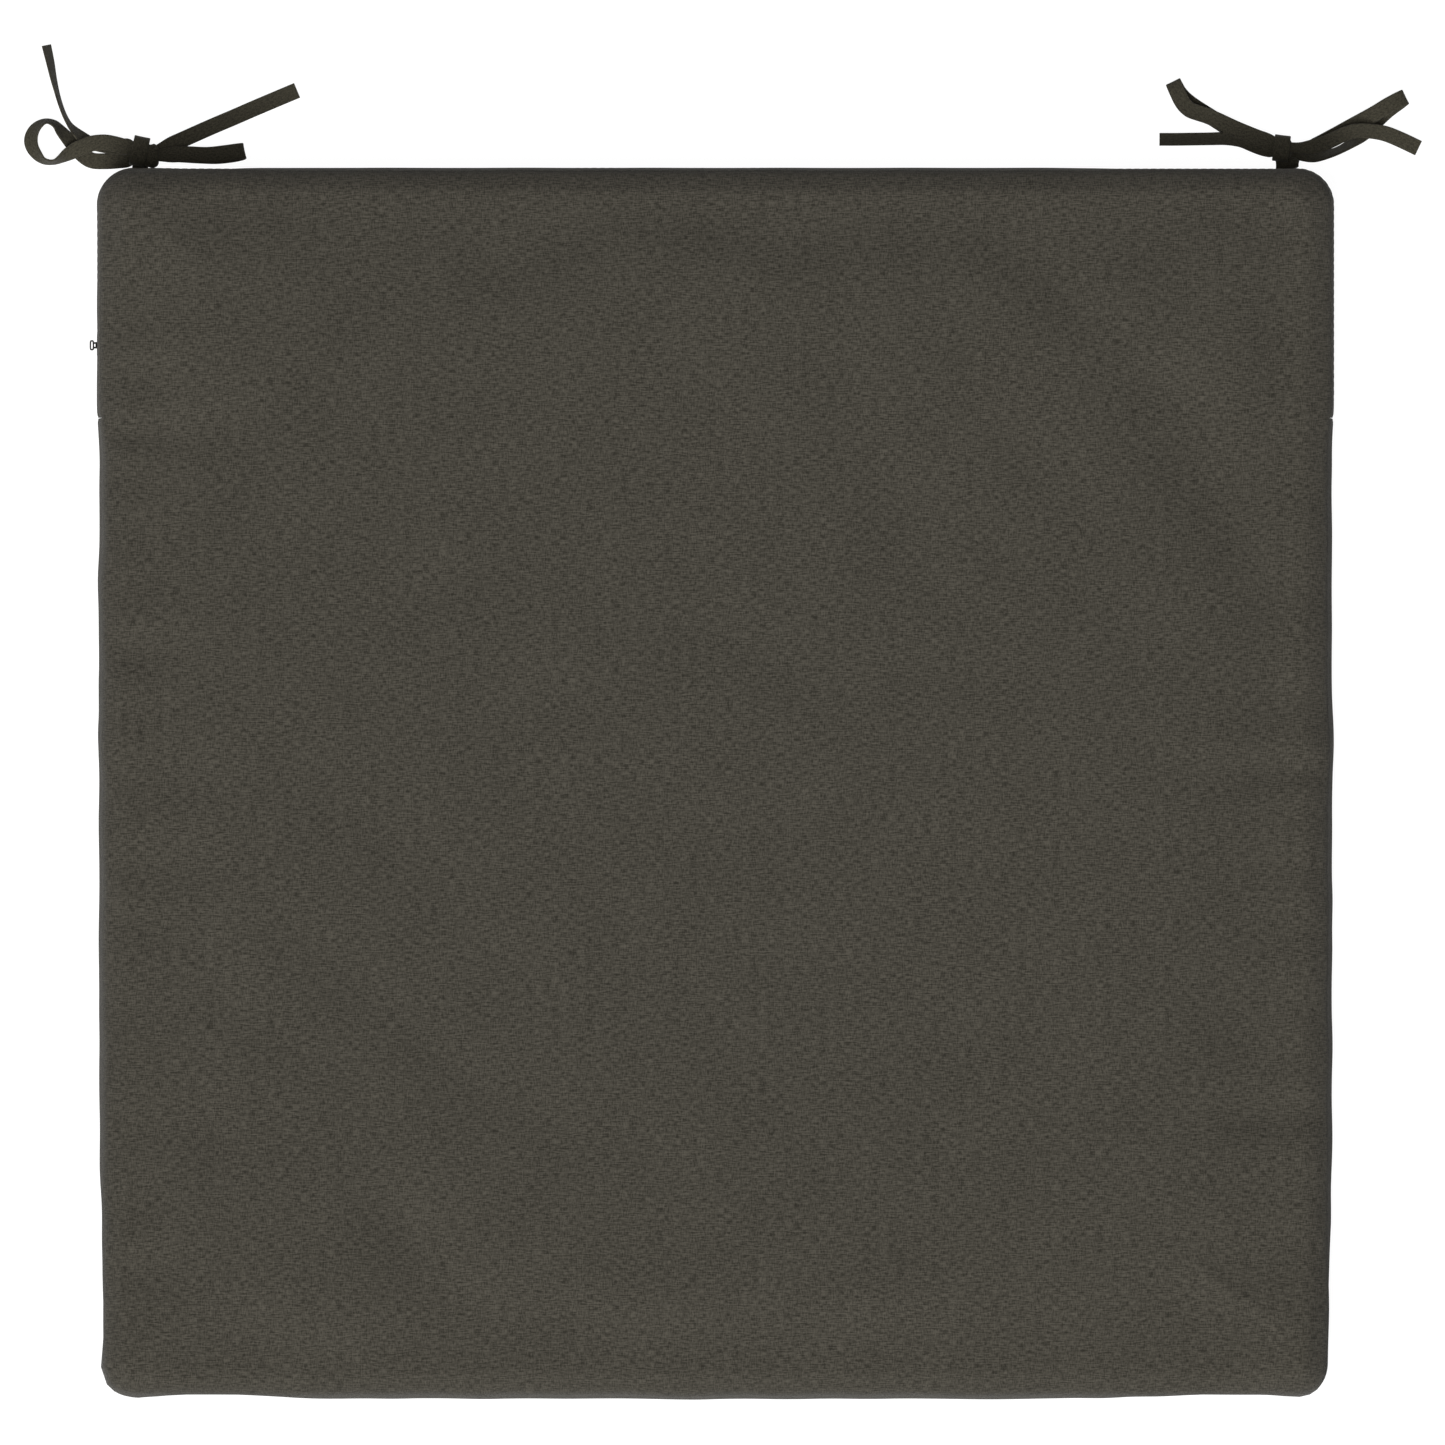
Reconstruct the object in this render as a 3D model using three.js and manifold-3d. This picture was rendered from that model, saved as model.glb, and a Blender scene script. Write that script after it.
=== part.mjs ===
// Chair seat pad: a zipped box cover over a wadded foam cushion, with a ribbon bow at each rear corner.
// Millimetres. +X is right, +Y is the rear edge where the ties are, +Z is up.
// The origin is the centre of the underside.
import * as THREE from 'three';
import { mergeVertices } from 'three/addons/utils/BufferGeometryUtils.js';
import Module from 'manifold-3d';

const wasm = await Module();
wasm.setup();

// Driving dimensions
const padWidth = 500;
const padDepth = 500;
const padHeight = 50;
const rearCornerRadius = 15;
const frontCornerRadius = 14;
const edgeRoll = 11; // radius of the rolled top and bottom edges
const smallestRoll = 1;
const gap = 0.3; // clearance between pieces that touch

const coverThickness = 1.2;
const topSeamDrop = 9; // the top panel wraps down to its seam, this far below the top face
const bottomSeamDrop = 4; // the bottom panel wraps up to its seam, this far above the bottom face
const zipWrapLength = 101.6; // from the rear edge forward to the cross seam, on both sides
const zipBulge = 1.9; // the zip band stands out this far at the sides
const hemWidth = 10; // the strip's edge is folded under by this much beside the zip

const tapeWidth = 12;
const tapeThickness = 0.5;
const coilWidth = 2.6;
const coilThickness = 1.2;
const chainSlot = 1; // between the two halves of the zip chain

const sliderLength = 9;
const sliderWidth = 8.4;
const sliderNarrowWidth = 7.4; // at the closed end
const sliderPlate = 0.9;
const sliderWallClearance = 0.6; // slider to the folded strip edges
const sliderFromSeam = 29.6; // middle of the slider to the cross seam
const wedgeLength = 2.6;
const wedgeThickness = 0.4;
const wedgeFromEnd = 0.8;
const crownNeckLength = 2.65;
const crownNeckHeight = 1.3;
const crownLength = 4.2;
const crownHeight = 1.7;
const crownBar = 0.5;
const crownChamfer = 0.6;
const crownWidth = 1.6;

const casingThickness = 0.6;
const waddingThickness = 6;

const tieWidth = 6.5;
const tieThickness = 0.8;
const tieEdge = 0.2; // chamfer on the ribbon's long edges
const stubWidth = 9;
const stubThickness = 1.6;
const stubClearance = 0.4; // to the rolled edge that it comes out of
const leftTieInset = 15.6; // from the pad's side to the middle of the stub
const rightTieInset = 18.4;
const knotHeight = 8;
const knotRound = 2.2;

const cornerSteps = 4;
const rollSteps = 4;
const ribbonStepsPerStop = 2;

// Heights and places that follow from them
const zipHeight = (padHeight - topSeamDrop + bottomSeamDrop) / 2; // midway between the long seams
const zipOpening = sliderWidth + 2 * sliderWallClearance;
const crossSeamY = padDepth / 2 - zipWrapLength;
const coilFace = 2 * coverThickness - coilThickness; // depths below the band's outer face
const tapeFace = 2 * coverThickness + gap;
const tapeBack = tapeFace + tapeThickness;
const casingSide = tapeBack + gap;
const casingFace = coverThickness + gap;
const waddingSide = casingSide + casingThickness + gap;
const waddingFace = casingFace + casingThickness + gap;
const foamSide = waddingSide + waddingThickness + gap;
const foamFace = waddingFace + waddingThickness + gap;

// Materials
function finish(color, roughness, metalness = 0) {
  return new THREE.MeshStandardMaterial({ color, roughness, metalness });
}

const coverFabric = finish(0x48453e, 0.9);
const ribbonFabric = finish(0x35322b, 0.85);
const zipTape = finish(0x37342e, 0.85);
const zipCoil = finish(0x2c2a26, 0.5);
const sliderMetal = finish(0x8b8b88, 0.35, 0.9);
const nonwoven = finish(0xe6e4de, 0.95);
const polyesterWadding = finish(0xf4f3ef, 1);
const foam = finish(0xe9dfb8, 0.95);

const pad = new THREE.Group();

function addMesh(name, geometry, material, parent = pad) {
  geometry.computeVertexNormals();
  const mesh = new THREE.Mesh(geometry, material);
  mesh.name = name;
  parent.add(mesh);
}

// Solids
function bare(geometry) {
  const copy = geometry.clone();
  copy.deleteAttribute('normal');
  copy.deleteAttribute('uv');
  return mergeVertices(copy, 1e-4);
}

function solid(geometry) {
  const merged = bare(geometry);
  const vertProperties = Float32Array.from(merged.attributes.position.array);
  const triVerts = Uint32Array.from(merged.index.array);
  return new wasm.Manifold(new wasm.Mesh({ numProp: 3, vertProperties, triVerts }));
}

function surface(body) {
  const mesh = body.getMesh();
  const geometry = new THREE.BufferGeometry();
  geometry.setAttribute('position', new THREE.BufferAttribute(mesh.vertProperties, 3));
  geometry.setIndex(new THREE.BufferAttribute(mesh.triVerts, 1));
  return geometry;
}

function block([x0, x1], [y0, y1], [z0, z1]) {
  const box = new THREE.BoxGeometry(x1 - x0, y1 - y0, z1 - z0);
  return solid(box.translate((x0 + x1) / 2, (y0 + y1) / 2, (z0 + z1) / 2));
}

// A rectangle with round corners, rear corners at +Y
function roundedOutline(width, depth, rearRadius, frontRadius) {
  const x = width / 2;
  const y = depth / 2;
  const outline = new THREE.Shape();
  outline.moveTo(x, -y + frontRadius);
  outline.absarc(x - rearRadius, y - rearRadius, rearRadius, 0, Math.PI / 2);
  outline.absarc(-x + rearRadius, y - rearRadius, rearRadius, Math.PI / 2, Math.PI);
  outline.absarc(-x + frontRadius, -y + frontRadius, frontRadius, Math.PI, 1.5 * Math.PI);
  outline.absarc(x - frontRadius, -y + frontRadius, frontRadius, 1.5 * Math.PI, 2 * Math.PI);
  return outline;
}

// The pad's own rounded form, drawn in by sideInset and faceInset, and widened for the zip band
function layer(sideInset, faceInset, widening = 0) {
  const sideRoll = Math.max(edgeRoll - sideInset, smallestRoll);
  const faceRoll = Math.max(edgeRoll - faceInset, smallestRoll);
  const flatInset = sideInset + sideRoll;
  const outline = roundedOutline(
    padWidth + 2 * widening - 2 * flatInset,
    padDepth - 2 * flatInset,
    Math.max(rearCornerRadius - flatInset, smallestRoll),
    Math.max(frontCornerRadius - flatInset, smallestRoll),
  );
  const form = new THREE.ExtrudeGeometry(outline, {
    depth: padHeight - 2 * (faceInset + faceRoll),
    bevelSize: sideRoll,
    bevelThickness: faceRoll,
    bevelSegments: rollSteps,
    curveSegments: cornerSteps,
  });
  return solid(form.translate(0, 0, faceInset + faceRoll));
}

// What a layer keeps between two depths below the zip band's outer face, or the cover's own
function skin(outerDepth, innerDepth, widening = 0) {
  return layer(outerDepth, outerDepth, widening).subtract(layer(innerDepth, innerDepth, widening));
}

const beyond = padWidth + padDepth + padHeight;
const everywhere = [-beyond, beyond];
const inFrontOfSeam = [-beyond, crossSeamY - gap / 2];
const behindSeam = [crossSeamY + gap / 2, beyond];

// Cover: two panels and the front band
function addCover() {
  const shell = skin(0, coverThickness);
  const topSeam = padHeight - topSeamDrop;
  const aboveTopSeam = block(everywhere, everywhere, [topSeam + gap / 2, beyond]);
  const belowBottomSeam = block(everywhere, everywhere, [-beyond, bottomSeamDrop - gap / 2]);
  const bandHeights = [bottomSeamDrop + gap / 2, topSeam - gap / 2];
  const frontBand = block(everywhere, inFrontOfSeam, bandHeights);
  addMesh('top_panel', surface(shell.intersect(aboveTopSeam)), coverFabric);
  addMesh('bottom_panel', surface(shell.intersect(belowBottomSeam)), coverFabric);
  addMesh('front_band', surface(shell.intersect(frontBand)), coverFabric);
}

// Zip band: each strip is folded under beside the zip, with a tape behind the fold and a coil on the tape
function addZipBand(name, side) {
  const heights = (near, far) => [zipHeight + side * near, zipHeight + side * far].sort((a, b) => a - b);
  const cut = (near, far) => block(everywhere, behindSeam, heights(near, far));
  const stripEdge = zipOpening / 2;
  const seam = zipHeight - bottomSeamDrop - gap / 2;
  const strip = skin(0, coverThickness, zipBulge).intersect(cut(stripEdge, seam));
  const hem = skin(0, 2 * coverThickness, zipBulge).intersect(cut(stripEdge, stripEdge + hemWidth));
  const tape = skin(tapeFace, tapeBack, zipBulge).intersect(cut(chainSlot / 2, chainSlot / 2 + tapeWidth));
  const coil = skin(coilFace, coilFace + coilThickness, zipBulge);
  const halfChain = coil.intersect(cut(chainSlot / 2, chainSlot / 2 + coilWidth));
  addMesh(`zip_band_${name}`, surface(strip.add(hem)), coverFabric);
  addMesh(`zip_tape_${name}`, surface(tape), zipTape);
  addMesh(`zip_coil_${name}`, surface(halfChain), zipCoil);
}

// Slider: two plates joined by a wedge in the chain's slot, with flanges over the coil and a bare crown.
// It is built pointing outwards along +Z with its travel along Y, and then turned onto the left side.
function sliderPlateShape(wide, narrow) {
  const end = sliderLength / 2;
  return new THREE.Shape([
    new THREE.Vector2(-wide / 2, -end),
    new THREE.Vector2(wide / 2, -end),
    new THREE.Vector2(narrow / 2, end),
    new THREE.Vector2(-narrow / 2, end),
  ]);
}

function extruded(shape, depth, lift) {
  const form = new THREE.ExtrudeGeometry(shape, { depth, bevelEnabled: false, curveSegments: cornerSteps });
  return form.translate(0, 0, lift);
}

function crownLoop() {
  const base = sliderPlate / 2; // sunk into the plate to join it
  const top = sliderPlate + crownNeckHeight + crownHeight;
  const ringFoot = sliderPlate + crownNeckHeight;
  const profile = new THREE.Shape();
  profile.moveTo(-crownNeckLength / 2, base);
  profile.lineTo(crownNeckLength / 2, base);
  profile.lineTo(crownNeckLength / 2, ringFoot);
  profile.lineTo(crownLength / 2, ringFoot + crownChamfer);
  profile.lineTo(crownLength / 2, top - crownChamfer);
  profile.lineTo(crownLength / 2 - crownChamfer, top);
  profile.lineTo(-crownLength / 2 + crownChamfer, top);
  profile.lineTo(-crownLength / 2, top - crownChamfer);
  profile.lineTo(-crownLength / 2, ringFoot + crownChamfer);
  profile.lineTo(-crownNeckLength / 2, ringFoot);
  const eye = new THREE.Path();
  const eyeHalf = crownLength / 2 - crownBar;
  eye.moveTo(-eyeHalf, ringFoot + crownBar);
  eye.lineTo(-eyeHalf, top - crownBar);
  eye.lineTo(eyeHalf, top - crownBar);
  eye.lineTo(eyeHalf, ringFoot + crownBar);
  profile.holes.push(eye);
  const loop = extruded(profile, crownWidth, -crownWidth / 2);
  return loop.rotateX(Math.PI / 2).rotateZ(Math.PI / 2);
}

function addSlider() {
  const chainHalf = chainSlot / 2 + coilWidth;
  const flangeGap = chainHalf + gap;
  const flangeDepth = tapeFace - gap - (coilFace - gap);
  const innerPlate = tapeBack + gap - (coilFace - gap); // below the outer plate's underside
  const wedgeFoot = -sliderLength / 2 + wedgeFromEnd;
  const outline = sliderPlateShape(sliderWidth, sliderNarrowWidth);
  const flanges = solid(extruded(outline, flangeDepth, -flangeDepth)).subtract(
    block([-flangeGap, flangeGap], everywhere, everywhere),
  );
  const wedge = block(
    [-wedgeThickness / 2, wedgeThickness / 2],
    [wedgeFoot, wedgeFoot + wedgeLength],
    [-innerPlate - sliderPlate / 2, sliderPlate / 2],
  );
  const body = solid(extruded(outline, sliderPlate, 0))
    .add(flanges)
    .add(wedge)
    .add(solid(extruded(outline, sliderPlate, -innerPlate - sliderPlate)))
    .add(solid(crownLoop()));
  const geometry = surface(body).rotateY(-Math.PI / 2);
  const outerFace = padWidth / 2 + zipBulge - coilFace + gap;
  geometry.translate(-outerFace, crossSeamY + sliderFromSeam, zipHeight);
  addMesh('zip_slider', geometry, sliderMetal);
}

// Inner cushion: casing and wadding in upper and lower halves round the foam core
function addHalves(name, outerSide, outerFace, thickness, material) {
  const shell = layer(outerSide, outerFace).subtract(layer(outerSide + thickness, outerFace + thickness));
  const above = block(everywhere, everywhere, [padHeight / 2 + gap / 2, beyond]);
  const below = block(everywhere, everywhere, [-beyond, padHeight / 2 - gap / 2]);
  addMesh(`${name}_top`, surface(shell.intersect(above)), material);
  addMesh(`${name}_bottom`, surface(shell.intersect(below)), material);
}

// Ties. A route's stops are [x, y, z, heading, tilt]: a point on the ribbon's middle line, and which way
// its width points, as a heading in plan and a tilt above the horizontal, in degrees. The places are
// measured from the middle of the stub, at the pad's rear edge and on the underside's level.
const leftRoutes = {
  loop_a: [
    [-4.5, 9, 6.4, 88, 0],
    [-7, 9.2, 6.8, 84, 0],
    [-10.4, 10.1, 7.1, 82, 0],
    [-14.7, 10.8, 7.1, 90, 0],
    [-19.5, 10.2, 6.8, 105, 0],
    [-22.8, 9.3, 6.4, 110, 5],
    [-25.7, 8.1, 5.9, 117, 12],
    [-28.9, 6.3, 4.9, 122, 32],
    [-32.2, 4.2, 4.1, 118, 60],
    [-35.4, 2.8, 3.8, 100, 75],
    [-39.1, 3.2, 3.6, 70, 70],
    [-41.9, 5.5, 3.2, 38, 52],
    [-44.1, 8.8, 2.6, 15, 38],
    [-44.7, 12, 2.3, -5, 33],
    [-43.7, 15.3, 2.7, -28, 44],
    [-41.4, 18, 3.3, -52, 60],
    [-38.3, 19.5, 3.6, -85, 74],
    [-35, 18.4, 3.5, -115, 66],
    [-32.6, 15.7, 3, -132, 50],
    [-29.6, 12.3, 2.3, -137, 34],
    [-26.5, 9, 1.6, -137, 15],
    [-23.2, 6, 1.2, -128, 5],
    [-19.5, 4.1, 1.2, -110, 0],
    [-13.8, 3.2, 1.5, -90, 0],
    [-9, 3.5, 1.5, -85, 0],
    [-4.7, 4, 1.6, -86, 0],
  ],
  loop_b: [
    [7.3, 5.4, 5.8, 92, 0],
    [13, 5.8, 6.8, 90, 0],
    [19, 6, 7.2, 88, 0],
    [27, 5.7, 7, 92, 0],
    [34, 6.4, 6.1, 96, 0],
    [39, 7.1, 5, 99, 0],
    [41.7, 7.4, 3.7, 102, 0],
    [42, 7.2, 2.3, 102, 0],
    [40.6, 6.6, 1.1, 100, 0],
    [37, 5.9, 0.7, 96, 0],
    [31, 5.3, 0.6, 92, 0],
    [24, 5.5, 0.6, 90, 0],
    [17, 5.9, 0.8, 88, 0],
    [12, 6.1, 1.3, 88, 0],
    [7.3, 6, 2, 90, 0],
  ],
  tail_a: [
    [-4.5, 9, 3.8, 90, -12],
    [-10, 8.8, 3.3, 90, -30],
    [-15, 9.2, 3, 86, -40],
    [-19.5, 10.3, 3, 70, -42],
    [-23.2, 12.4, 2.9, 53, -44],
    [-26.3, 15.1, 3.3, 45, -60],
    [-28.9, 18.1, 3.5, 35, -74],
    [-31, 22, 3.6, 25, -78],
    [-32.8, 26.8, 3.6, 18, -78],
    [-34.2, 31.7, 3.6, 15, -76],
    [-35.6, 37.5, 3.5, 13, -70],
    [-36.8, 43.5, 3.3, 13, -63],
    [-38.4, 50.5, 3.2, 13, -58],
  ],
  tail_b: [
    [8.8, 8.3, 4, 114, 0],
    [12, 9.7, 4, 114, 0],
    [17, 11.9, 3.6, 114, 0],
    [23, 14.6, 2.6, 114, 0],
    [30, 17.7, 1.5, 114, 0],
    [38, 21.1, 0.8, 114, 0],
    [46.5, 24.8, 0.6, 113, 0],
    [55, 28.4, 0.6, 113, 0],
    [63.8, 32.1, 0.6, 112, 0],
  ],
};

const rightRoutes = {
  loop_a: [
    [-6.2, 11, 7.2, 70, 0],
    [-12, 13.2, 7.7, 65, 0],
    [-20, 16.5, 8, 63, 0],
    [-26, 19.3, 7.8, 62, 5],
    [-31, 21.5, 7.2, 68, 10],
    [-35, 22.8, 6.5, 68, 12],
    [-38.2, 24, 5.9, 55, 12],
    [-40.4, 25.9, 5.5, 42, 10],
    [-41.9, 28.1, 5.2, 32, 8],
    [-43.1, 30.6, 4.9, 27, 5],
    [-44.3, 33.3, 4.3, 26, 0],
    [-45, 35.1, 3.2, 26, 0],
    [-45, 35.2, 2, 26, 0],
    [-44.1, 33.5, 1.1, 26, 0],
    [-42.6, 31, 0.9, 30, 0],
    [-40, 28.2, 1, 42, 0],
    [-36, 25.2, 1.2, 54, 0],
    [-29.5, 21.1, 1.3, 57, 0],
    [-22.2, 16.6, 1.4, 60, 0],
    [-15, 13.6, 1.7, 65, 0],
    [-9, 11.6, 2.3, 70, 0],
    [-6, 10.8, 2.6, 74, 0],
  ],
  loop_b: [
    [3.9, 8.5, 4.5, -92, 0],
    [8, 8.3, 4.5, -84, 0],
    [12.2, 9.2, 4.4, -70, 0],
    [20, 13.2, 4.3, -61, 0],
    [28, 17.6, 4.8, -61, 0],
    [36.6, 22.3, 5.6, -60, 0],
    [42, 25.6, 5.4, -62, 0],
    [46.4, 28, 4.7, -64, 0],
    [49, 29.2, 3.5, -64, 0],
    [49.1, 29.1, 2.1, -64, 0],
    [46.8, 27.3, 1.1, -62, 0],
    [42, 23.7, 0.9, -54, 5],
    [37, 19, 1.1, -48, 12],
    [32.4, 14.4, 1.9, -45, 24],
    [27.4, 10.4, 3.1, -48, 55],
    [20.6, 6.9, 3.3, -63, 62],
    [13.6, 5.4, 2.8, -83, 42],
    [8.4, 5.4, 2.2, -93, 25],
    [4.3, 6, 1.9, -97, 10],
  ],
  tail_a: [
    [-6, 8, 5, 78, 0],
    [-9, 8.7, 5, 76, 10],
    [-12.5, 9.9, 4.9, 73, 20],
    [-17.5, 11.7, 4.5, 78, 30],
    [-23.5, 12.4, 3.7, 88, 38],
    [-30, 12.3, 2.9, 90, 41],
    [-37, 12.2, 2.6, 90, 41],
    [-44, 12.1, 2.6, 90, 41],
    [-50.7, 12.1, 2.6, 90, 41],
  ],
  tail_b: [
    [3.9, 8.8, 7.4, -90, 0],
    [8.2, 8.7, 7.6, -86, -10],
    [13.6, 9.5, 7.6, -74, -20],
    [19.5, 11.7, 7.6, -66, -25],
    [24.5, 14.1, 7.9, -68, -27],
    [29.6, 15.5, 7.7, -82, -27],
    [35.3, 15.4, 6.2, -94, -24],
    [41.3, 14.4, 4, -104, -16],
    [47.7, 11.9, 2, -114, -8],
    [54.9, 8.5, 1, -115, 0],
  ],
};

function widthDirection(heading, tilt) {
  const turn = THREE.MathUtils.degToRad(heading);
  const rise = THREE.MathUtils.degToRad(tilt);
  return new THREE.Vector3(Math.cos(rise) * Math.cos(turn), Math.cos(rise) * Math.sin(turn), Math.sin(rise));
}

function ribbonSection(width, thickness) {
  const x = width / 2;
  const y = thickness / 2;
  const corners = [[x, -y + tieEdge], [x, y - tieEdge], [x - tieEdge, y], [-x + tieEdge, y]];
  const opposite = corners.map(([cornerX, cornerY]) => [-cornerX, -cornerY]);
  return new THREE.Shape([...corners, ...opposite].map(([px, py]) => new THREE.Vector2(px, py)));
}

// The section is extruded straight, one unit long, and each ring is then laid across the route
function ribbon(route, width, thickness) {
  const steps = (route.length - 1) * ribbonStepsPerStop;
  const section = ribbonSection(width, thickness);
  const form = bare(new THREE.ExtrudeGeometry(section, { depth: 1, steps, bevelEnabled: false }));
  const middle = new THREE.CatmullRomCurve3(route.map(([x, y, z]) => new THREE.Vector3(x, y, z)));
  const widths = route.map(([, , , heading, tilt]) => widthDirection(heading, tilt));
  const widthCurve = new THREE.CatmullRomCurve3(widths, false, 'catmullrom');
  const points = form.attributes.position;
  for (let index = 0; index < points.count; index += 1) {
    const along = points.getZ(index);
    const tangent = middle.getTangent(along);
    const across = widthCurve.getPoint(along).projectOnPlane(tangent).normalize();
    const up = new THREE.Vector3().crossVectors(tangent, across);
    const place = middle.getPoint(along);
    place.addScaledVector(across, points.getX(index)).addScaledVector(up, points.getY(index));
    points.setXYZ(index, place.x, place.y, place.z);
  }
  return form;
}

// How far the rolled edge is drawn in at a height above the underside
function rollInset(height) {
  const belowFull = Math.max(edgeRoll - height, 0);
  return edgeRoll - Math.sqrt(edgeRoll ** 2 - belowFull ** 2);
}

// The stub runs straight from the lower seam to the knot
function stubRoute(knotFoot) {
  const start = stubClearance - rollInset(bottomSeamDrop + stubThickness / 2);
  return [start, knotFoot - gap].map((y) => [0, y, bottomSeamDrop, 0, 0]);
}

// The knot is drawn as one rounded block between the pieces that enter it
function knot([x0, x1], [y0, y1]) {
  const radius = Math.min(knotRound, (x1 - x0) / 2, (y1 - y0) / 2);
  const flatWidth = x1 - x0 - 2 * radius;
  const flatDepth = y1 - y0 - 2 * radius;
  const outline = roundedOutline(flatWidth, flatDepth, smallestRoll, smallestRoll);
  const form = new THREE.ExtrudeGeometry(outline, {
    depth: knotHeight - 2 * radius,
    bevelSize: radius,
    bevelThickness: radius,
    bevelSegments: rollSteps,
    curveSegments: cornerSteps,
  });
  return form.translate((x0 + x1) / 2, (y0 + y1) / 2, radius);
}

function addTie(side, stubX, routes, knotX, knotY) {
  const tie = new THREE.Group();
  tie.position.set(stubX, padDepth / 2, 0);
  pad.add(tie);
  const stub = ribbon(stubRoute(knotY[0]), stubWidth, stubThickness);
  addMesh(`${side}_tie_stub`, stub, ribbonFabric, tie);
  addMesh(`${side}_tie_knot`, knot(knotX, knotY), ribbonFabric, tie);
  for (const [piece, route] of Object.entries(routes)) {
    addMesh(`${side}_tie_${piece}`, ribbon(route, tieWidth, tieThickness), ribbonFabric, tie);
  }
}

addCover();
addZipBand('upper', 1);
addZipBand('lower', -1);
addSlider();
addHalves('inner_casing', casingSide, casingFace, casingThickness, nonwoven);
addHalves('wadding', waddingSide, waddingFace, waddingThickness, polyesterWadding);
addMesh('foam_core', surface(layer(foamSide, foamFace)), foam);
addTie('left', -padWidth / 2 + leftTieInset, leftRoutes, [-4.1, 7], [1.6, 13.4]);
addTie('right', padWidth / 2 - rightTieInset, rightRoutes, [-4.8, 3.6], [3, 13.8]);

export default pad;
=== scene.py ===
import math

import bmesh
import bpy
import numpy as np
from mathutils import Matrix, Vector


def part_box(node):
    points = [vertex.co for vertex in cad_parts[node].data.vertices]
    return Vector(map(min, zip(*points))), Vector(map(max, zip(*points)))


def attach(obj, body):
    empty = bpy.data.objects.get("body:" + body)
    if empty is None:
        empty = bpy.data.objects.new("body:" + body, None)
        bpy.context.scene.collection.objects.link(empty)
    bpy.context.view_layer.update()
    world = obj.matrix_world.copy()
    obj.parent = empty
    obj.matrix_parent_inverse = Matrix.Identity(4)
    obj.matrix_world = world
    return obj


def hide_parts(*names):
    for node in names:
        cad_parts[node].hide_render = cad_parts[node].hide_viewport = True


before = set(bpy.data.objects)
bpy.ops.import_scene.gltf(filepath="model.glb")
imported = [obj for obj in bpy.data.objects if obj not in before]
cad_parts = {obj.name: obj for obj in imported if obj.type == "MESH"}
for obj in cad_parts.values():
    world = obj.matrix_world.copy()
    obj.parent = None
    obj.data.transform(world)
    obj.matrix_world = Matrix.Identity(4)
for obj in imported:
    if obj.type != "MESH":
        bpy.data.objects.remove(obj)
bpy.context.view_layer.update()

MM = 0.001

# ---------------------------------------------------------------------------------------------
# Sizes taken from the frame, in metres
# ---------------------------------------------------------------------------------------------
FRONT_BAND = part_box("front_band")
UPPER_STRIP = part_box("zip_band_upper")
LOWER_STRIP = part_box("zip_band_lower")
HALF_WIDTH = FRONT_BAND[1][0]
HALF_DEPTH = UPPER_STRIP[1][1]
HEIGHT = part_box("top_panel")[1][2]
TOP_SEAM = (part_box("top_panel")[0][2] + FRONT_BAND[1][2]) / 2
BOTTOM_SEAM = (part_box("bottom_panel")[1][2] + FRONT_BAND[0][2]) / 2
CROSS_SEAM = (FRONT_BAND[1][1] + UPPER_STRIP[0][1]) / 2
ZIP_BULGE = UPPER_STRIP[1][0] - HALF_WIDTH
ZIP_TOP = UPPER_STRIP[0][2]
ZIP_BOTTOM = LOWER_STRIP[1][2]
ZIP_HEIGHT = (ZIP_TOP + ZIP_BOTTOM) / 2

# ---------------------------------------------------------------------------------------------
# Camera: straight down through a long lens
# ---------------------------------------------------------------------------------------------
VIEW_CENTRE = (2.8 * MM, 24.4 * MM)
VIEW_FIELD = 588.4 * MM
CAMERA_HEIGHT = 20.0
SENSOR = 36.0


def add_camera():
    data = bpy.data.cameras.new("camera")
    data.sensor_width = SENSOR
    data.lens = SENSOR * (CAMERA_HEIGHT - ZIP_HEIGHT) / VIEW_FIELD
    data.clip_end = 100
    camera = bpy.data.objects.new("camera", data)
    camera.location = (*VIEW_CENTRE, CAMERA_HEIGHT)
    bpy.context.scene.collection.objects.link(camera)
    bpy.context.scene.camera = camera


add_camera()


# ---------------------------------------------------------------------------------------------
# Mesh helpers
# ---------------------------------------------------------------------------------------------
def add_object(name, verts, faces, uvs=None, smooth=True):
    """A mesh object; uvs gives one (u, v) for each corner of each face, in metres of cloth."""
    mesh = bpy.data.meshes.new(name)
    mesh.from_pydata([tuple(v) for v in verts], [], [tuple(f) for f in faces])
    if uvs is not None:
        layer = mesh.uv_layers.new(name="cloth")
        layer.data.foreach_set("uv", np.asarray(uvs, dtype=np.float32).ravel())
    mesh.polygons.foreach_set("use_smooth", [smooth] * len(mesh.polygons))
    mesh.update()
    obj = bpy.data.objects.new(name, mesh)
    bpy.context.scene.collection.objects.link(obj)
    return obj


def apply_modifiers(obj):
    depsgraph = bpy.context.evaluated_depsgraph_get()
    done = bpy.data.meshes.new_from_object(obj.evaluated_get(depsgraph))
    obj.modifiers.clear()
    obj.data = done


def points_of(mesh):
    flat = np.empty(len(mesh.vertices) * 3)
    mesh.vertices.foreach_get("co", flat)
    return flat.reshape(-1, 3)


def smoothstep(low, high, value):
    t = np.clip((value - low) / (high - low), 0, 1)
    return t * t * (3 - 2 * t)


def catmull_rom(stops, per_stop):
    """Evenly numbered points on the curve through the stops, with any number of columns."""
    p = np.asarray(stops, float)
    p = np.vstack([2 * p[0] - p[1], p, 2 * p[-1] - p[-2]])
    out = []
    for k in range(1, len(p) - 2):
        t = np.arange(per_stop)[:, None] / per_stop
        a, b, c, d = p[k - 1], p[k], p[k + 1], p[k + 2]
        square, cube = 2 * a - 5 * b + 4 * c - d, 3 * b - a - 3 * c + d
        out.append(0.5 * (2 * b + (c - a) * t + square * t**2 + cube * t**3))
    return np.vstack([*out, p[-2][None]])


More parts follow.
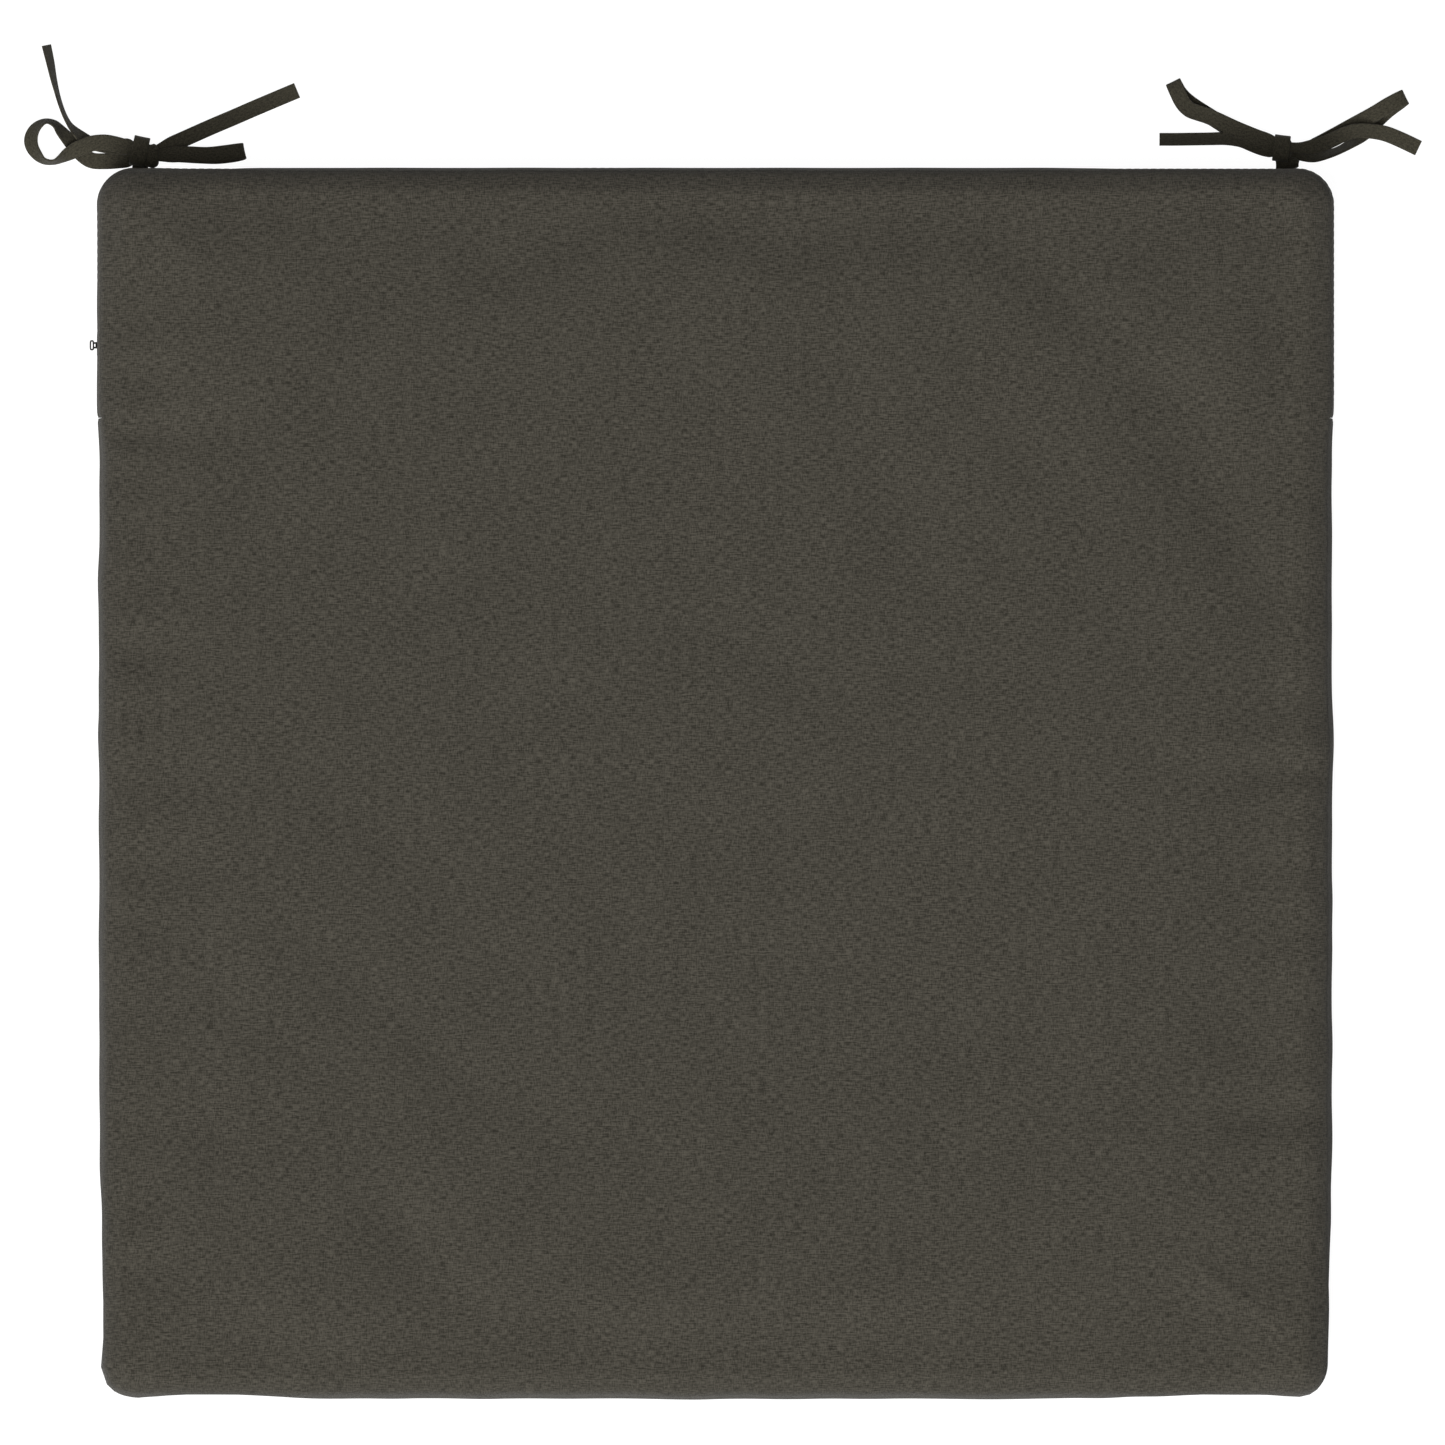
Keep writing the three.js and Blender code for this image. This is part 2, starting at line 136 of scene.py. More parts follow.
def unit(v):
    return v / np.maximum(np.linalg.norm(v, axis=-1, keepdims=True), 1e-12)


# ---------------------------------------------------------------------------------------------
# Materials
# ---------------------------------------------------------------------------------------------
class Nodes:
    """Short calls for building one procedural material."""

    def __init__(self, name):
        self.material = bpy.data.materials.new(name)
        self.material.use_nodes = True
        self.tree = self.material.node_tree
        self.shader = self.tree.nodes["Principled BSDF"]

    def add(self, kind, **inputs):
        node = self.tree.nodes.new(kind)
        for key, value in inputs.items():
            self.feed(node, key, value)
        return node

    def feed(self, node, key, value):
        socket = node.inputs[int(key[1:])] if key[0] == "_" else node.inputs[key]
        if isinstance(value, bpy.types.NodeSocket):
            self.tree.links.new(value, socket)
        else:
            socket.default_value = value

    def math(self, operation, a, b=0.0, clamp=False, plus=None):
        """A math node; plus is what a MULTIPLY_ADD adds."""
        node = self.tree.nodes.new("ShaderNodeMath")
        node.operation = operation
        node.use_clamp = clamp
        self.feed(node, "_0", a)
        self.feed(node, "_1", b)
        if plus is not None:
            self.feed(node, "_2", plus)
        return node.outputs[0]

    def noise(self, vector, scale, detail=2.0, roughness=0.5):
        node = self.add("ShaderNodeTexNoise", Scale=scale, Detail=detail, Roughness=roughness)
        self.feed(node, "Vector", vector)
        return node.outputs["Fac"]

    def stretched(self, vector, stretch, offset=(0, 0, 0)):
        node = self.tree.nodes.new("ShaderNodeMapping")
        self.feed(node, "Vector", vector)
        node.inputs["Scale"].default_value = stretch
        node.inputs["Location"].default_value = offset
        return node.outputs[0]

    def ramp(self, factor, *stops):
        node = self.tree.nodes.new("ShaderNodeValToRGB")
        while len(node.color_ramp.elements) < len(stops):
            node.color_ramp.elements.new(0.5)
        for element, (position, color) in zip(node.color_ramp.elements, stops):
            element.position = position
            element.color = (*color, 1)
        self.feed(node, "Fac", factor)
        return node.outputs["Color"]

    def mix(self, factor, a, b):
        node = self.tree.nodes.new("ShaderNodeMix")
        node.data_type = "RGBA"
        self.feed(node, "_0", factor)
        self.feed(node, "_6", a)
        self.feed(node, "_7", b)
        return node.outputs[2]

    def bump(self, height, distance, strength=1.0):
        node = self.add("ShaderNodeBump", Strength=strength, Distance=distance)
        self.feed(node, "Height", height)
        self.feed(self.shader, "Normal", node.outputs[0])


def cloth_coordinates(nodes):
    node = nodes.tree.nodes.new("ShaderNodeUVMap")
    node.uv_map = "cloth"
    return node.outputs[0]


def object_coordinates(nodes):
    return nodes.add("ShaderNodeTexCoord").outputs["Object"]


def weave(nodes, cloth, pitch):
    """(which thread is on top from 0 to 1, relief from 0 to 1) of a plain weave with that pitch."""
    parts = nodes.tree.nodes.new("ShaderNodeSeparateXYZ")
    nodes.feed(parts, "_0", nodes.stretched(cloth, (math.pi / pitch,) * 3))
    along = nodes.math("SINE", parts.outputs[0])
    across = nodes.math("SINE", parts.outputs[1])
    over = nodes.math("MULTIPLY", along, across)
    top = nodes.math("MULTIPLY_ADD", nodes.math("MULTIPLY", over, 3.0), 0.5, clamp=True, plus=0.5)
    relief = nodes.math("ABSOLUTE", over)
    return top, relief


def woven_material(name, dark, light, pitch, streak, relief_depth, roughness, mottling):
    """Melange plain weave: each thread changes shade along its length."""
    nodes = Nodes(name)
    cloth = cloth_coordinates(nodes)
    wobble = nodes.noise(cloth, 90.0, 1.0)
    drift = nodes.add("ShaderNodeVectorMath")
    drift.operation = "MULTIPLY_ADD"
    nodes.feed(drift, "_0", nodes.add("ShaderNodeCombineXYZ", X=wobble, Y=wobble).outputs[0])
    drift.inputs[1].default_value = (pitch * 0.8, -pitch * 0.8, 0)
    nodes.feed(drift, "_2", cloth)
    threads = drift.outputs[0]
    top, relief = weave(nodes, threads, pitch)
    fine = 1 / pitch
    warp = nodes.noise(nodes.stretched(threads, (fine, fine / streak, 1)), 1.0, 2.0)
    weft = nodes.noise(nodes.stretched(threads, (fine / (1.5 * streak), fine, 1), (7, 3, 1)), 1.0, 2.0)
    cloud = nodes.noise(cloth, 38.0, 3.0)
    crossed = nodes.math("ADD", nodes.math("MULTIPLY", weft, 0.9), nodes.math("MULTIPLY", warp, 0.6))
    both = nodes.math("ADD", crossed, nodes.math("MULTIPLY", nodes.mix(top, warp, weft), 0.5))
    shade = nodes.math("ADD", both, nodes.math("MULTIPLY", cloud, mottling))
    shade = nodes.math("SUBTRACT", shade, 0.5 + mottling / 2)
    nodes.feed(nodes.shader, "Base Color", nodes.ramp(shade, (0.28, dark), (0.72, light)))
    fuzz = nodes.noise(threads, fine * 2.2, 2.0)
    height = nodes.math("ADD", relief, nodes.math("MULTIPLY", fuzz, 0.6))
    nodes.bump(height, relief_depth)
    dullness = nodes.math("MULTIPLY_ADD", warp, -0.12, plus=roughness + 0.06)
    nodes.feed(nodes.shader, "Roughness", dullness)
    nodes.shader.inputs["Sheen Weight"].default_value = 0.04
    nodes.shader.inputs["Sheen Roughness"].default_value = 0.5
    nodes.shader.inputs["Specular IOR Level"].default_value = 0.12
    return nodes.material


def fibre_material(name, dark, light, scale, depth, roughness, translucency=0.0):
    """A mat of fibres, for wadding and nonwoven."""
    nodes = Nodes(name)
    place = object_coordinates(nodes)
    strands = nodes.noise(nodes.stretched(place, (1.0, 0.35, 1.0)), scale, 5.0, 0.7)
    crossing = nodes.noise(nodes.stretched(place, (0.35, 1.0, 1.0), (3, 5, 7)), scale, 5.0, 0.7)
    mat = nodes.math("MAXIMUM", strands, crossing)
    nodes.feed(nodes.shader, "Base Color", nodes.ramp(mat, (0.4, dark), (0.7, light)))
    nodes.bump(mat, depth)
    nodes.shader.inputs["Roughness"].default_value = roughness
    nodes.shader.inputs["Subsurface Weight"].default_value = translucency
    nodes.shader.inputs["Subsurface Scale"].default_value = 2 * MM
    return nodes.material


def foam_material(name):
    nodes = Nodes(name)
    place = object_coordinates(nodes)
    cells = nodes.tree.nodes.new("ShaderNodeTexVoronoi")
    cells.inputs["Scale"].default_value = 900.0
    nodes.feed(cells, "Vector", place)
    blush = nodes.noise(place, 14.0, 3.0)
    soft = nodes.math("MULTIPLY", blush, 0.4)
    # The tone is darkest in the middle of each cell, which the bump sinks into a pore: painted shade in the
    # pores, mixed with random blush patches of the foam's own colour.
    tone = nodes.math("MULTIPLY_ADD", cells.outputs["Distance"], 0.5, plus=soft)
    pale, pore_shade_and_blush = (0.83, 0.76, 0.52), (0.66, 0.56, 0.33)
    nodes.feed(nodes.shader, "Base Color", nodes.ramp(tone, (0.15, pore_shade_and_blush), (0.6, pale)))
    nodes.bump(cells.outputs["Distance"], 0.4 * MM)
    nodes.shader.inputs["Roughness"].default_value = 0.95
    return nodes.material


def nylon_material(name):
    nodes = Nodes(name)
    place = object_coordinates(nodes)
    grime = nodes.noise(place, 220.0, 3.0)
    low, high = (0.016, 0.015, 0.013), (0.035, 0.032, 0.027)
    nodes.feed(nodes.shader, "Base Color", nodes.ramp(grime, (0.3, low), (0.7, high)))
    nodes.feed(nodes.shader, "Roughness", nodes.math("MULTIPLY_ADD", grime, 0.25, plus=0.28))
    nodes.bump(nodes.noise(place, 4000.0, 1.0), 0.01 * MM)
    return nodes.material


def plated_metal_material(name):
    """Dark, dull plating on zinc, a little brighter where it is worn."""
    nodes = Nodes(name)
    place = object_coordinates(nodes)
    cast = nodes.noise(place, 900.0, 4.0, 0.6)
    scratches = nodes.noise(nodes.stretched(place, (1.0, 0.08, 1.0)), 5000.0, 2.0)
    dull, bright = (0.004, 0.004, 0.0038), (0.02, 0.02, 0.019)
    nodes.feed(nodes.shader, "Base Color", nodes.ramp(cast, (0.35, dull), (0.7, bright)))
    nodes.feed(nodes.shader, "Roughness", nodes.math("MULTIPLY_ADD", scratches, 0.3, plus=0.42))
    nodes.bump(nodes.math("ADD", cast, nodes.math("MULTIPLY", scratches, 0.3)), 0.03 * MM)
    nodes.shader.inputs["Metallic"].default_value = 1.0
    return nodes.material


COVER = woven_material(
    "cover_weave", dark=(0.0150, 0.0136, 0.0099), light=(0.0505, 0.0459, 0.0362),
    pitch=0.52 * MM, streak=4.5, relief_depth=0.1 * MM, roughness=0.9, mottling=0.1,
)
RIBBON = woven_material(
    "ribbon_weave", dark=(0.0129, 0.0114, 0.0073), light=(0.0344, 0.031, 0.0207),
    pitch=0.45 * MM, streak=2.0, relief_depth=0.07 * MM, roughness=0.78, mottling=0.08,
)
TAPE = woven_material(
    "tape_weave", dark=(0.022, 0.02, 0.016), light=(0.05, 0.045, 0.038),
    pitch=0.5 * MM, streak=6.0, relief_depth=0.08 * MM, roughness=0.8, mottling=0.05,
)
THREAD = woven_material(
    "sewing_thread", dark=(0.026, 0.023, 0.018), light=(0.06, 0.054, 0.044),
    pitch=0.3 * MM, streak=2.0, relief_depth=0.05 * MM, roughness=0.6, mottling=0.0,
)
NYLON = nylon_material("zip_nylon")
METAL = plated_metal_material("slider_plating")
NONWOVEN = fibre_material(
    "nonwoven", dark=(0.62, 0.61, 0.58), light=(0.86, 0.85, 0.82),
    scale=1400.0, depth=0.08 * MM, roughness=0.9,
)
WADDING = fibre_material(
    "wadding_fibre", dark=(0.7, 0.7, 0.68), light=(0.93, 0.93, 0.91),
    scale=420.0, depth=0.8 * MM, roughness=1.0, translucency=0.2,
)
FOAM = foam_material("foam_cells")


def dress(obj, material, body="cushion", nodes=()):
    """Gives a finished piece its material and body, and hides the CAD nodes that it stands for."""
    obj.data.materials.clear()
    obj.data.materials.append(material)
    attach(obj, body)
    if nodes:
        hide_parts(*nodes)
    return obj


# ---------------------------------------------------------------------------------------------
# The pad's form. A place on it is given by steps round its plan from the front left corner, by a
# height on the outer surface, and by depths below that surface at the sides and at the faces.
# ---------------------------------------------------------------------------------------------
ROLL = 11 * MM
GAP = 0.3 * MM
SMALLEST_RADIUS = 1 * MM
STEPS = 82  # on each side, from the middle of one corner to the middle of the next
CORNER_STEPS = 6
ROUND = 4 * STEPS
FACE_SINK = 1.6 * MM  # the panels start this much lower than the frame's flat faces, and swell
CORNER_SIGNS = np.array([(-1, -1), (1, -1), (1, 1), (-1, 1)])
CORNER_RADII = np.array([(17, 12), (12, 14), (15, 15), (15, 15)]) * MM
HALF = np.array([HALF_WIDTH, HALF_DEPTH])


def outline(steps, inset):
    """Points on the pad's plan, drawn in by inset, and the directions out of it."""
    steps = np.mod(np.asarray(steps, float), ROUND)
    side = np.floor(steps / STEPS).astype(int) % 4
    along = steps - side * STEPS
    half = CORNER_STEPS / 2

    def arc(corner, angle):
        radius = np.maximum(CORNER_RADII[corner] - inset, SMALLEST_RADIUS)
        centre = CORNER_SIGNS[corner] * (HALF - inset - radius)
        way = np.stack([np.cos(angle), np.sin(angle)], -1)
        return centre + radius * way, unit(way / radius)

    first, last = side, (side + 1) % 4
    turn = np.radians(225 + 90 * side)
    start, start_out = arc(first, turn + np.radians(45) * np.minimum(along / half, 1))
    end_turn = np.radians(45) * np.minimum((STEPS - along) / half, 1)
    end, end_out = arc(last, turn + np.radians(90) - end_turn)
    share = np.clip((along - half) / (STEPS - 2 * half), 0, 1)[..., None]
    return start + (end - start) * share, unit(start_out + (end_out - start_out) * share)


def arc_lengths():
    places, _ = outline(np.arange(ROUND + 1), 0)
    return np.concatenate([[0], np.cumsum(np.linalg.norm(np.diff(places, axis=0), axis=1))])


ARC = arc_lengths()


def roll_angle(height):
    """How far round the rolled edge a height is: 0 on the side, a quarter turn at a face, signed."""
    over = np.clip((height - (HEIGHT - ROLL)) / ROLL, 0, 1)
    under = np.clip((ROLL - height) / ROLL, 0, 1)
    return np.arcsin(over) - np.arcsin(under)


DENSE_HEIGHTS = np.linspace(0, HEIGHT, 4001)
DENSE_INSETS = ROLL * (1 - np.cos(roll_angle(DENSE_HEIGHTS)))
DENSE_GIRTHS = np.cumsum(np.hypot(np.gradient(DENSE_HEIGHTS), np.gradient(DENSE_INSETS)))


def roll_heights(start, end, count):
    """Heights from start to end, spaced evenly along the pad's rolled side."""
    ends = np.interp([start, end], DENSE_HEIGHTS, DENSE_GIRTHS)
    return np.interp(np.linspace(*ends, count + 1), DENSE_GIRTHS, DENSE_HEIGHTS)


def girth(height):
    """Length of cloth from the zip's height to a height on the rolled side."""
    at_height, at_zip = np.interp([height, ZIP_HEIGHT], DENSE_HEIGHTS, DENSE_GIRTHS)
    return at_height - at_zip


def bare_side(steps, height, side_depth=0.0, face_depth=0.0):
    """The side's places before any swelling, and the directions out of them."""
    steps, height = np.broadcast_arrays(np.asarray(steps, float), np.asarray(height, float))
    angle = roll_angle(height)
    side_roll = max(ROLL - side_depth, SMALLEST_RADIUS)
    face_roll = max(ROLL - face_depth, SMALLEST_RADIUS)
    inset = side_depth + side_roll * (1 - np.cos(angle))
    edge, out = outline(steps, side_depth + side_roll)
    flat = edge + out * (side_depth + side_roll - inset)[..., None]
    lift = np.where(np.abs(angle) > 0, face_roll * np.sin(angle), 0)
    level = np.clip(height, ROLL, HEIGHT - ROLL)
    place = np.concatenate([flat, (level + lift)[..., None]], -1)
    way = np.concatenate([out * np.cos(angle)[..., None], np.sin(angle)[..., None]], -1)
    return place, way


def face_steps(a, b):
    """Steps round the plan, and the share of the way out from the middle, of face grid places."""
    u, v = 2 * a / STEPS - 1, 2 * b / STEPS - 1
    reach = np.maximum(np.abs(u), np.abs(v))
    safe = np.maximum(reach, 1e-9)
    s, t = u / safe, v / safe
    front, right, back = t <= -1 + 1e-9, s >= 1 - 1e-9, t >= 1 - 1e-9
    along = [(s + 1) / 2, 1 + (t + 1) / 2, 2 + (1 - s) / 2]
    steps = np.select([front, right, back], along, 3 + (1 - t) / 2)
    return np.mod(steps * STEPS, ROUND), reach


def bare_face(a, b, side_depth=0.0):
    """The plan places of face grid places before any swelling."""
    inset = side_depth + max(ROLL - side_depth, SMALLEST_RADIUS)
    steps, reach = face_steps(a, b)
    edge, _ = outline(steps, inset)
    square = np.stack([2 * a / STEPS - 1, 2 * b / STEPS - 1], -1) * (HALF - inset)
    share = (reach**4)[..., None]
    return square * (1 - share) + edge * reach[..., None] * share


# ---------------------------------------------------------------------------------------------
# Swelling: a closed bag of cloth in the pad's form, blown up and drawn in at its seams
# ---------------------------------------------------------------------------------------------
SIM_HEIGHTS = np.concatenate([
    roll_heights(HEIGHT, TOP_SEAM, 3),
    roll_heights(TOP_SEAM, BOTTOM_SEAM, 9)[1:],
    roll_heights(BOTTOM_SEAM, 0, 3)[1:],
])
SIM_FRAMES = 20
SIM_PRESSURE = 0.45
SIM_SEAM_SHRINK = 0.035
SWELL_CAP = 4.5 * MM
SIDE_CAP = 0.9 * MM


def boundary_index(steps):
    """Row-major index in the face grid of a place on its edge, for whole steps."""
    side, along = divmod(int(steps) % ROUND, STEPS)
    a, b = [(along, 0), (STEPS, along), (STEPS - along, STEPS), (0, STEPS - along)][side]
    return a * (STEPS + 1) + b


def bag_mesh():
    """The whole closed form: top grid, rings down the side, bottom grid."""
    a, b = np.meshgrid(np.arange(STEPS + 1.0), np.arange(STEPS + 1.0), indexing="ij")
    face = bare_face(a, b).reshape(-1, 2)
    count = len(face)
    rings = SIM_HEIGHTS[1:-1]
    side, _ = bare_side(np.arange(ROUND)[None, :], rings[:, None])
    tops = np.column_stack([face, np.full(count, HEIGHT)])
    bottoms = np.column_stack([face, np.zeros(count)])
    verts = np.vstack([tops, side.reshape(-1, 3), bottoms])
    edge = [boundary_index(s) for s in range(ROUND)]
    bottom_start = count + len(rings) * ROUND
    loops = [edge]
    loops += [[count + r * ROUND + s for s in range(ROUND)] for r in range(len(rings))]
    loops += [[bottom_start + e for e in edge]]
    faces = []
    for i in range(STEPS):
        for j in range(STEPS):
            q = [i * (STEPS + 1) + j, (i + 1) * (STEPS + 1) + j, (i + 1) * (STEPS + 1) + j + 1]
            q.append(i * (STEPS + 1) + j + 1)
            faces.append(q)
            faces.append([bottom_start + k for k in reversed(q)])
    for upper, lower in zip(loops, loops[1:]):
        for s in range(ROUND):
            n = (s + 1) % ROUND
            faces.append([upper[s], lower[s], lower[n], upper[n]])
    return verts, faces, loops, count, bottom_start


def smoothed(field, wrap, rounds):
    for _ in range(rounds):
        for axis in range(2):
            if axis == 0 and wrap:
                field = (np.roll(field, 1, 0) + 2 * field + np.roll(field, -1, 0)) / 4
            else:
                padded = np.concatenate([field.take([0], axis), field, field.take([-1], axis)], axis)
                low = padded.take(range(0, padded.shape[axis] - 2), axis)
                high = padded.take(range(2, padded.shape[axis]), axis)
                field = (low + 2 * field + high) / 4
    return field


def run_cloth():
    """How far each point of the bag moves, as arrays for the top, the side and the bottom."""
    verts, faces, loops, count, bottom_start = bag_mesh()
    rng = np.random.default_rng(7)
    start = verts + rng.normal(0, 0.15 * MM, verts.shape)
    bag = add_object("bag", start, faces)
    pinned = bag.vertex_groups.new(name="underside")
    pinned.add(list(range(bottom_start, len(verts))), 1.0, "REPLACE")
    seams = bag.vertex_groups.new(name="seams")
    for row, height in enumerate(SIM_HEIGHTS):
        if min(abs(height - TOP_SEAM), abs(height - BOTTOM_SEAM)) < 0.1 * MM:
            seams.add(loops[row], 1.0, "REPLACE")
    cloth = bag.modifiers.new("cloth", "CLOTH")
    settings = cloth.settings
    settings.quality = 5
    settings.mass = 0.3
    settings.tension_stiffness = settings.compression_stiffness = 25
    settings.shear_stiffness = 12
    settings.bending_stiffness = 1.5
    settings.use_pressure = True
    settings.uniform_pressure_force = SIM_PRESSURE
    settings.vertex_group_mass = "underside"
    settings.vertex_group_shrink = "seams"
    settings.shrink_min = 0.0
    settings.shrink_max = SIM_SEAM_SHRINK
    settings.effector_weights.gravity = 0
    cloth.point_cache.frame_start = 1
    cloth.point_cache.frame_end = SIM_FRAMES
    for step in range(1, SIM_FRAMES + 1):
        bpy.context.scene.frame_set(step)
    apply_modifiers(bag)
    moved = points_of(bag.data) - verts
    mesh = bag.data
    bpy.data.objects.remove(bag)
    bpy.data.meshes.remove(mesh)
    bpy.context.scene.frame_set(1)
    top = moved[:count].reshape(STEPS + 1, STEPS + 1, 3)
    bottom = moved[bottom_start:].reshape(STEPS + 1, STEPS + 1, 3)
    side = moved[np.array(loops)].transpose(1, 0, 2)
    return top, side, bottom


def swelling():
    """Fields of movement: top and bottom face grids, and (steps, heights) for the side."""
    top, side, _ = run_cloth()  # the underside lies flat on the seat
    _, out = bare_side(np.arange(ROUND)[:, None], SIM_HEIGHTS[None, :])
    outward = (side * out).sum(-1)
    outward = SIDE_CAP * np.tanh((outward - outward.mean()) / SIDE_CAP)
    side = smoothed(out * outward[..., None], True, 1)
    lift = SWELL_CAP * np.tanh(np.maximum(top[..., 2], 0) / SWELL_CAP)
    top = np.zeros_like(top)
    top[..., 2] = lift
    top = smoothed(top, False, 2)
    return top, side, np.zeros_like(top)


def finer(field, wrap):
    """The field with a point between each two along its grid, by cubic interpolation."""
    for axis in range(2):
        moved = np.moveaxis(field, axis, 0)
        if axis == 0 and wrap:
            ring = np.concatenate([moved[-1:], moved, moved[:2]])
        else:
            ring = np.concatenate([moved[:1], moved, moved[-1:]])
        middle = (9 * (ring[1:-2] + ring[2:-1]) - ring[:-3] - ring[3:]) / 16
        out = np.empty((len(moved) + len(middle), *moved.shape[1:]))
        out[0::2] = moved
        out[1::2] = middle
        field = np.moveaxis(out, 0, axis)
    return field


TOP_SWELL, SIDE_SWELL, BOTTOM_SWELL = swelling()
TOP_SWELL, BOTTOM_SWELL = finer(TOP_SWELL, False), finer(BOTTOM_SWELL, False)


def ring_join(side, top, bottom):
    """The side's first and last rows carry the face grids' own edges."""
    joined = side.copy()
    for steps in range(ROUND):
        a, b = divmod(boundary_index(steps), STEPS + 1)
        joined[steps, 0] = top[2 * a, 2 * b]
        joined[steps, -1] = bottom[2 * a, 2 * b]
    return joined


SIDE_SWELL = ring_join(SIDE_SWELL, TOP_SWELL, BOTTOM_SWELL)


# ---------------------------------------------------------------------------------------------
# Puckers along the seams, and the soft creases that run in from them
# ---------------------------------------------------------------------------------------------
# (side, place along that side from the middle, length along the seam, how far it stands out), mm
PUCKERS = [
    ("left", 80, 26, 1.3), ("left", 60, 20, 0.6), ("left", 38, 22, 0.8), ("left", 17, 20, 1.2),
    ("left", -17, 26, 0.8), ("left", -66, 40, 0.8), ("left", -123, 34, 0.5), ("left", -160, 30, 0.7),
    ("left", -215, 32, 0.15), ("left", 118, 20, 0.4), ("left", -95, 18, 0.4), ("left", -188, 18, 0.3),
    ("right", 99, 26, 0.5), ("right", 15, 34, 1.5), ("right", -50, 22, 0.8), ("right", -70, 18, 0.6),
    ("right", -109, 26, 0.8), ("right", -146, 26, 0.7), ("right", -211, 30, 0.6), ("right", 62, 22, 0.4),
    ("right", -20, 20, 0.4), ("right", 128, 16, 0.4), ("right", -178, 18, 0.3),
    ("front", -165, 36, 0.6), ("front", -133, 18, 0.4), ("front", -96, 22, 0.6), ("front", -60, 20, 0.3),
    ("front", -11, 30, 1.0), ("front", 30, 26, 0.7), ("front", 63, 18, 0.5), ("front", 110, 44, 0.8),
    ("front", 156, 20, 0.5), ("front", 177, 18, 0.5), ("front", 218, 26, 0.1),
    ("back", -190, 26, 0.2), ("back", -135, 26, 0.2), ("back", -80, 28, 0.25), ("back", -28, 26, 0.2),
    ("back", 25, 26, 0.2), ("back", 78, 28, 0.2), ("back", 130, 26, 0.2), ("back", 182, 26, 0.2),
]
# (side, place, how far in it runs, width, depth, drift along the side for each mm inwards), mm
CREASES = [
    ("left", 186, 36, 10, 0.7, 0.1), ("left", 166, 40, 9, 0.7, 0.05), ("left", 142.5, 44, 9.5, 2.2, -0.05),
    ("left", 124, 42, 12, 0.8, 0.05), ("left", 104, 34, 11, 0.5, -0.1), ("left", 77, 32, 11, 0.6, 0.1),
    ("left", 55, 44, 13, 1.7, -0.05), ("left", 28, 34, 11, 0.7, 0.1), ("left", 2, 42, 13, 0.8, 0.0),
    ("left", -34, 50, 13, 1.3, 0.05), ("left", -56, 40, 11, 0.7, -0.1), ("left", -95, 34, 12, 0.7, 0.1),
    ("left", -140, 42, 13, 0.9, 0.0), ("left", -172, 32, 11, 0.7, 0.1), ("left", -198, 46, 12, 1.1, -0.05),
    ("right", 160, 30, 12, 0.6, 0.1), ("right", 118, 28, 11, 0.6, 0.0), ("right", 78, 32, 12, 0.7, -0.1),
    ("right", 34, 42, 12, 0.8, -0.05), ("right", 6, 56, 10, 1.9, -0.05), ("right", -34, 42, 11, 1.0, 0.05),
    ("right", -60, 40, 11, 0.7, 0.0), ("right", -92, 46, 12, 0.8, 0.1),
    ("right", -134, 48, 10.5, 1.6, -0.05),
    ("right", -165, 34, 11, 0.8, 0.05), ("right", -190, 32, 11, 0.6, 0.0), ("right", 205, 26, 10, 0.4, 0.0),
    ("front", -205, 30, 12, 0.5, 0.1), ("front", -150, 26, 11, 0.5, -0.1),
    ("front", -75, 30, 12, 0.5, 0.05),
    ("front", -30, 34, 12, 0.6, -0.1), ("front", 48, 36, 13, 0.6, 0.1), ("front", 86, 28, 11, 0.5, 0.0),
    ("front", 140, 30, 12, 0.5, -0.05), ("front", 195, 30, 12, 0.5, 0.1),
    ("back", -160, 22, 12, 0.3, 0.1), ("back", -55, 20, 12, 0.25, 0.0), ("back", 52, 22, 12, 0.3, 0.0),
    ("back", 155, 20, 12, 0.25, -0.1),
]
SEAM_PULL = 0.55 * MM  # the stitching draws the cloth in along each long seam
SEAM_REACH = 1.5 * MM
CROSS_SEAM_PULL = 0.4 * MM
CROSS_SEAM_REACH = 1.1 * MM
BULGE_FADES = (21 * MM, 10 * MM)  # how far in front of and behind the cross seam the bulge fades
ZIP_CALM = 0.25  # share of the swelling that the zip band keeps, so that its edges run true

PUCKER_LEAN = 0.15  # how far a pucker drifts along the seam for each mm of height
PUCKER_SPREAD = 8 * MM  # how far from a seam the puckers stay at their highest
PUCKER_FLOOR = 0.4  # share of its rise that a pucker keeps away from the seams
PUCKER_REACH = 22 * MM  # how far in from the side the puckers end
CREASE_START = 7 * MM  # how far in from the side a crease has its whole depth
CREASE_START_SHARE = 0.35
CREASE_FADE = 1.4
RIDGE_SHARE = 0.45  # height of the ridges beside a crease, as a share of its depth
RIDGE_PLACE = 1.9  # in half widths of the crease
RIDGE_WIDTH = 0.9

SIDES = {"front": (0, -1), "right": (1, 0), "back": (0, 1), "left": (-1, 0)}


def along_and_in(xy, side):
    """Place along a side from its middle, towards +X or +Y, and distance in from the side."""
    out = np.array(SIDES[side])
    along = xy @ np.array([abs(out[1]), abs(out[0])])
    return along, HALF_WIDTH - xy @ out


def pucker_height(xy, height):
    """How far puckers stand out of the side, at a plan place and a height."""
    total = np.zeros(xy.shape[:-1])
    lean = PUCKER_LEAN * (height - ZIP_HEIGHT)
    from_seam = np.minimum(np.abs(height - TOP_SEAM), np.abs(height - BOTTOM_SEAM))
    share = PUCKER_FLOOR + (1 - PUCKER_FLOOR) * np.exp(-((from_seam / PUCKER_SPREAD) ** 2))
    for side, place, length, rise in PUCKERS:
        along, inwards = along_and_in(xy, side)
        near = np.exp(-(((along - place * MM + lean) / (0.5 * length * MM)) ** 2))
        total += rise * MM * near * np.clip(1 - inwards / PUCKER_REACH, 0, 1)
    return total * share


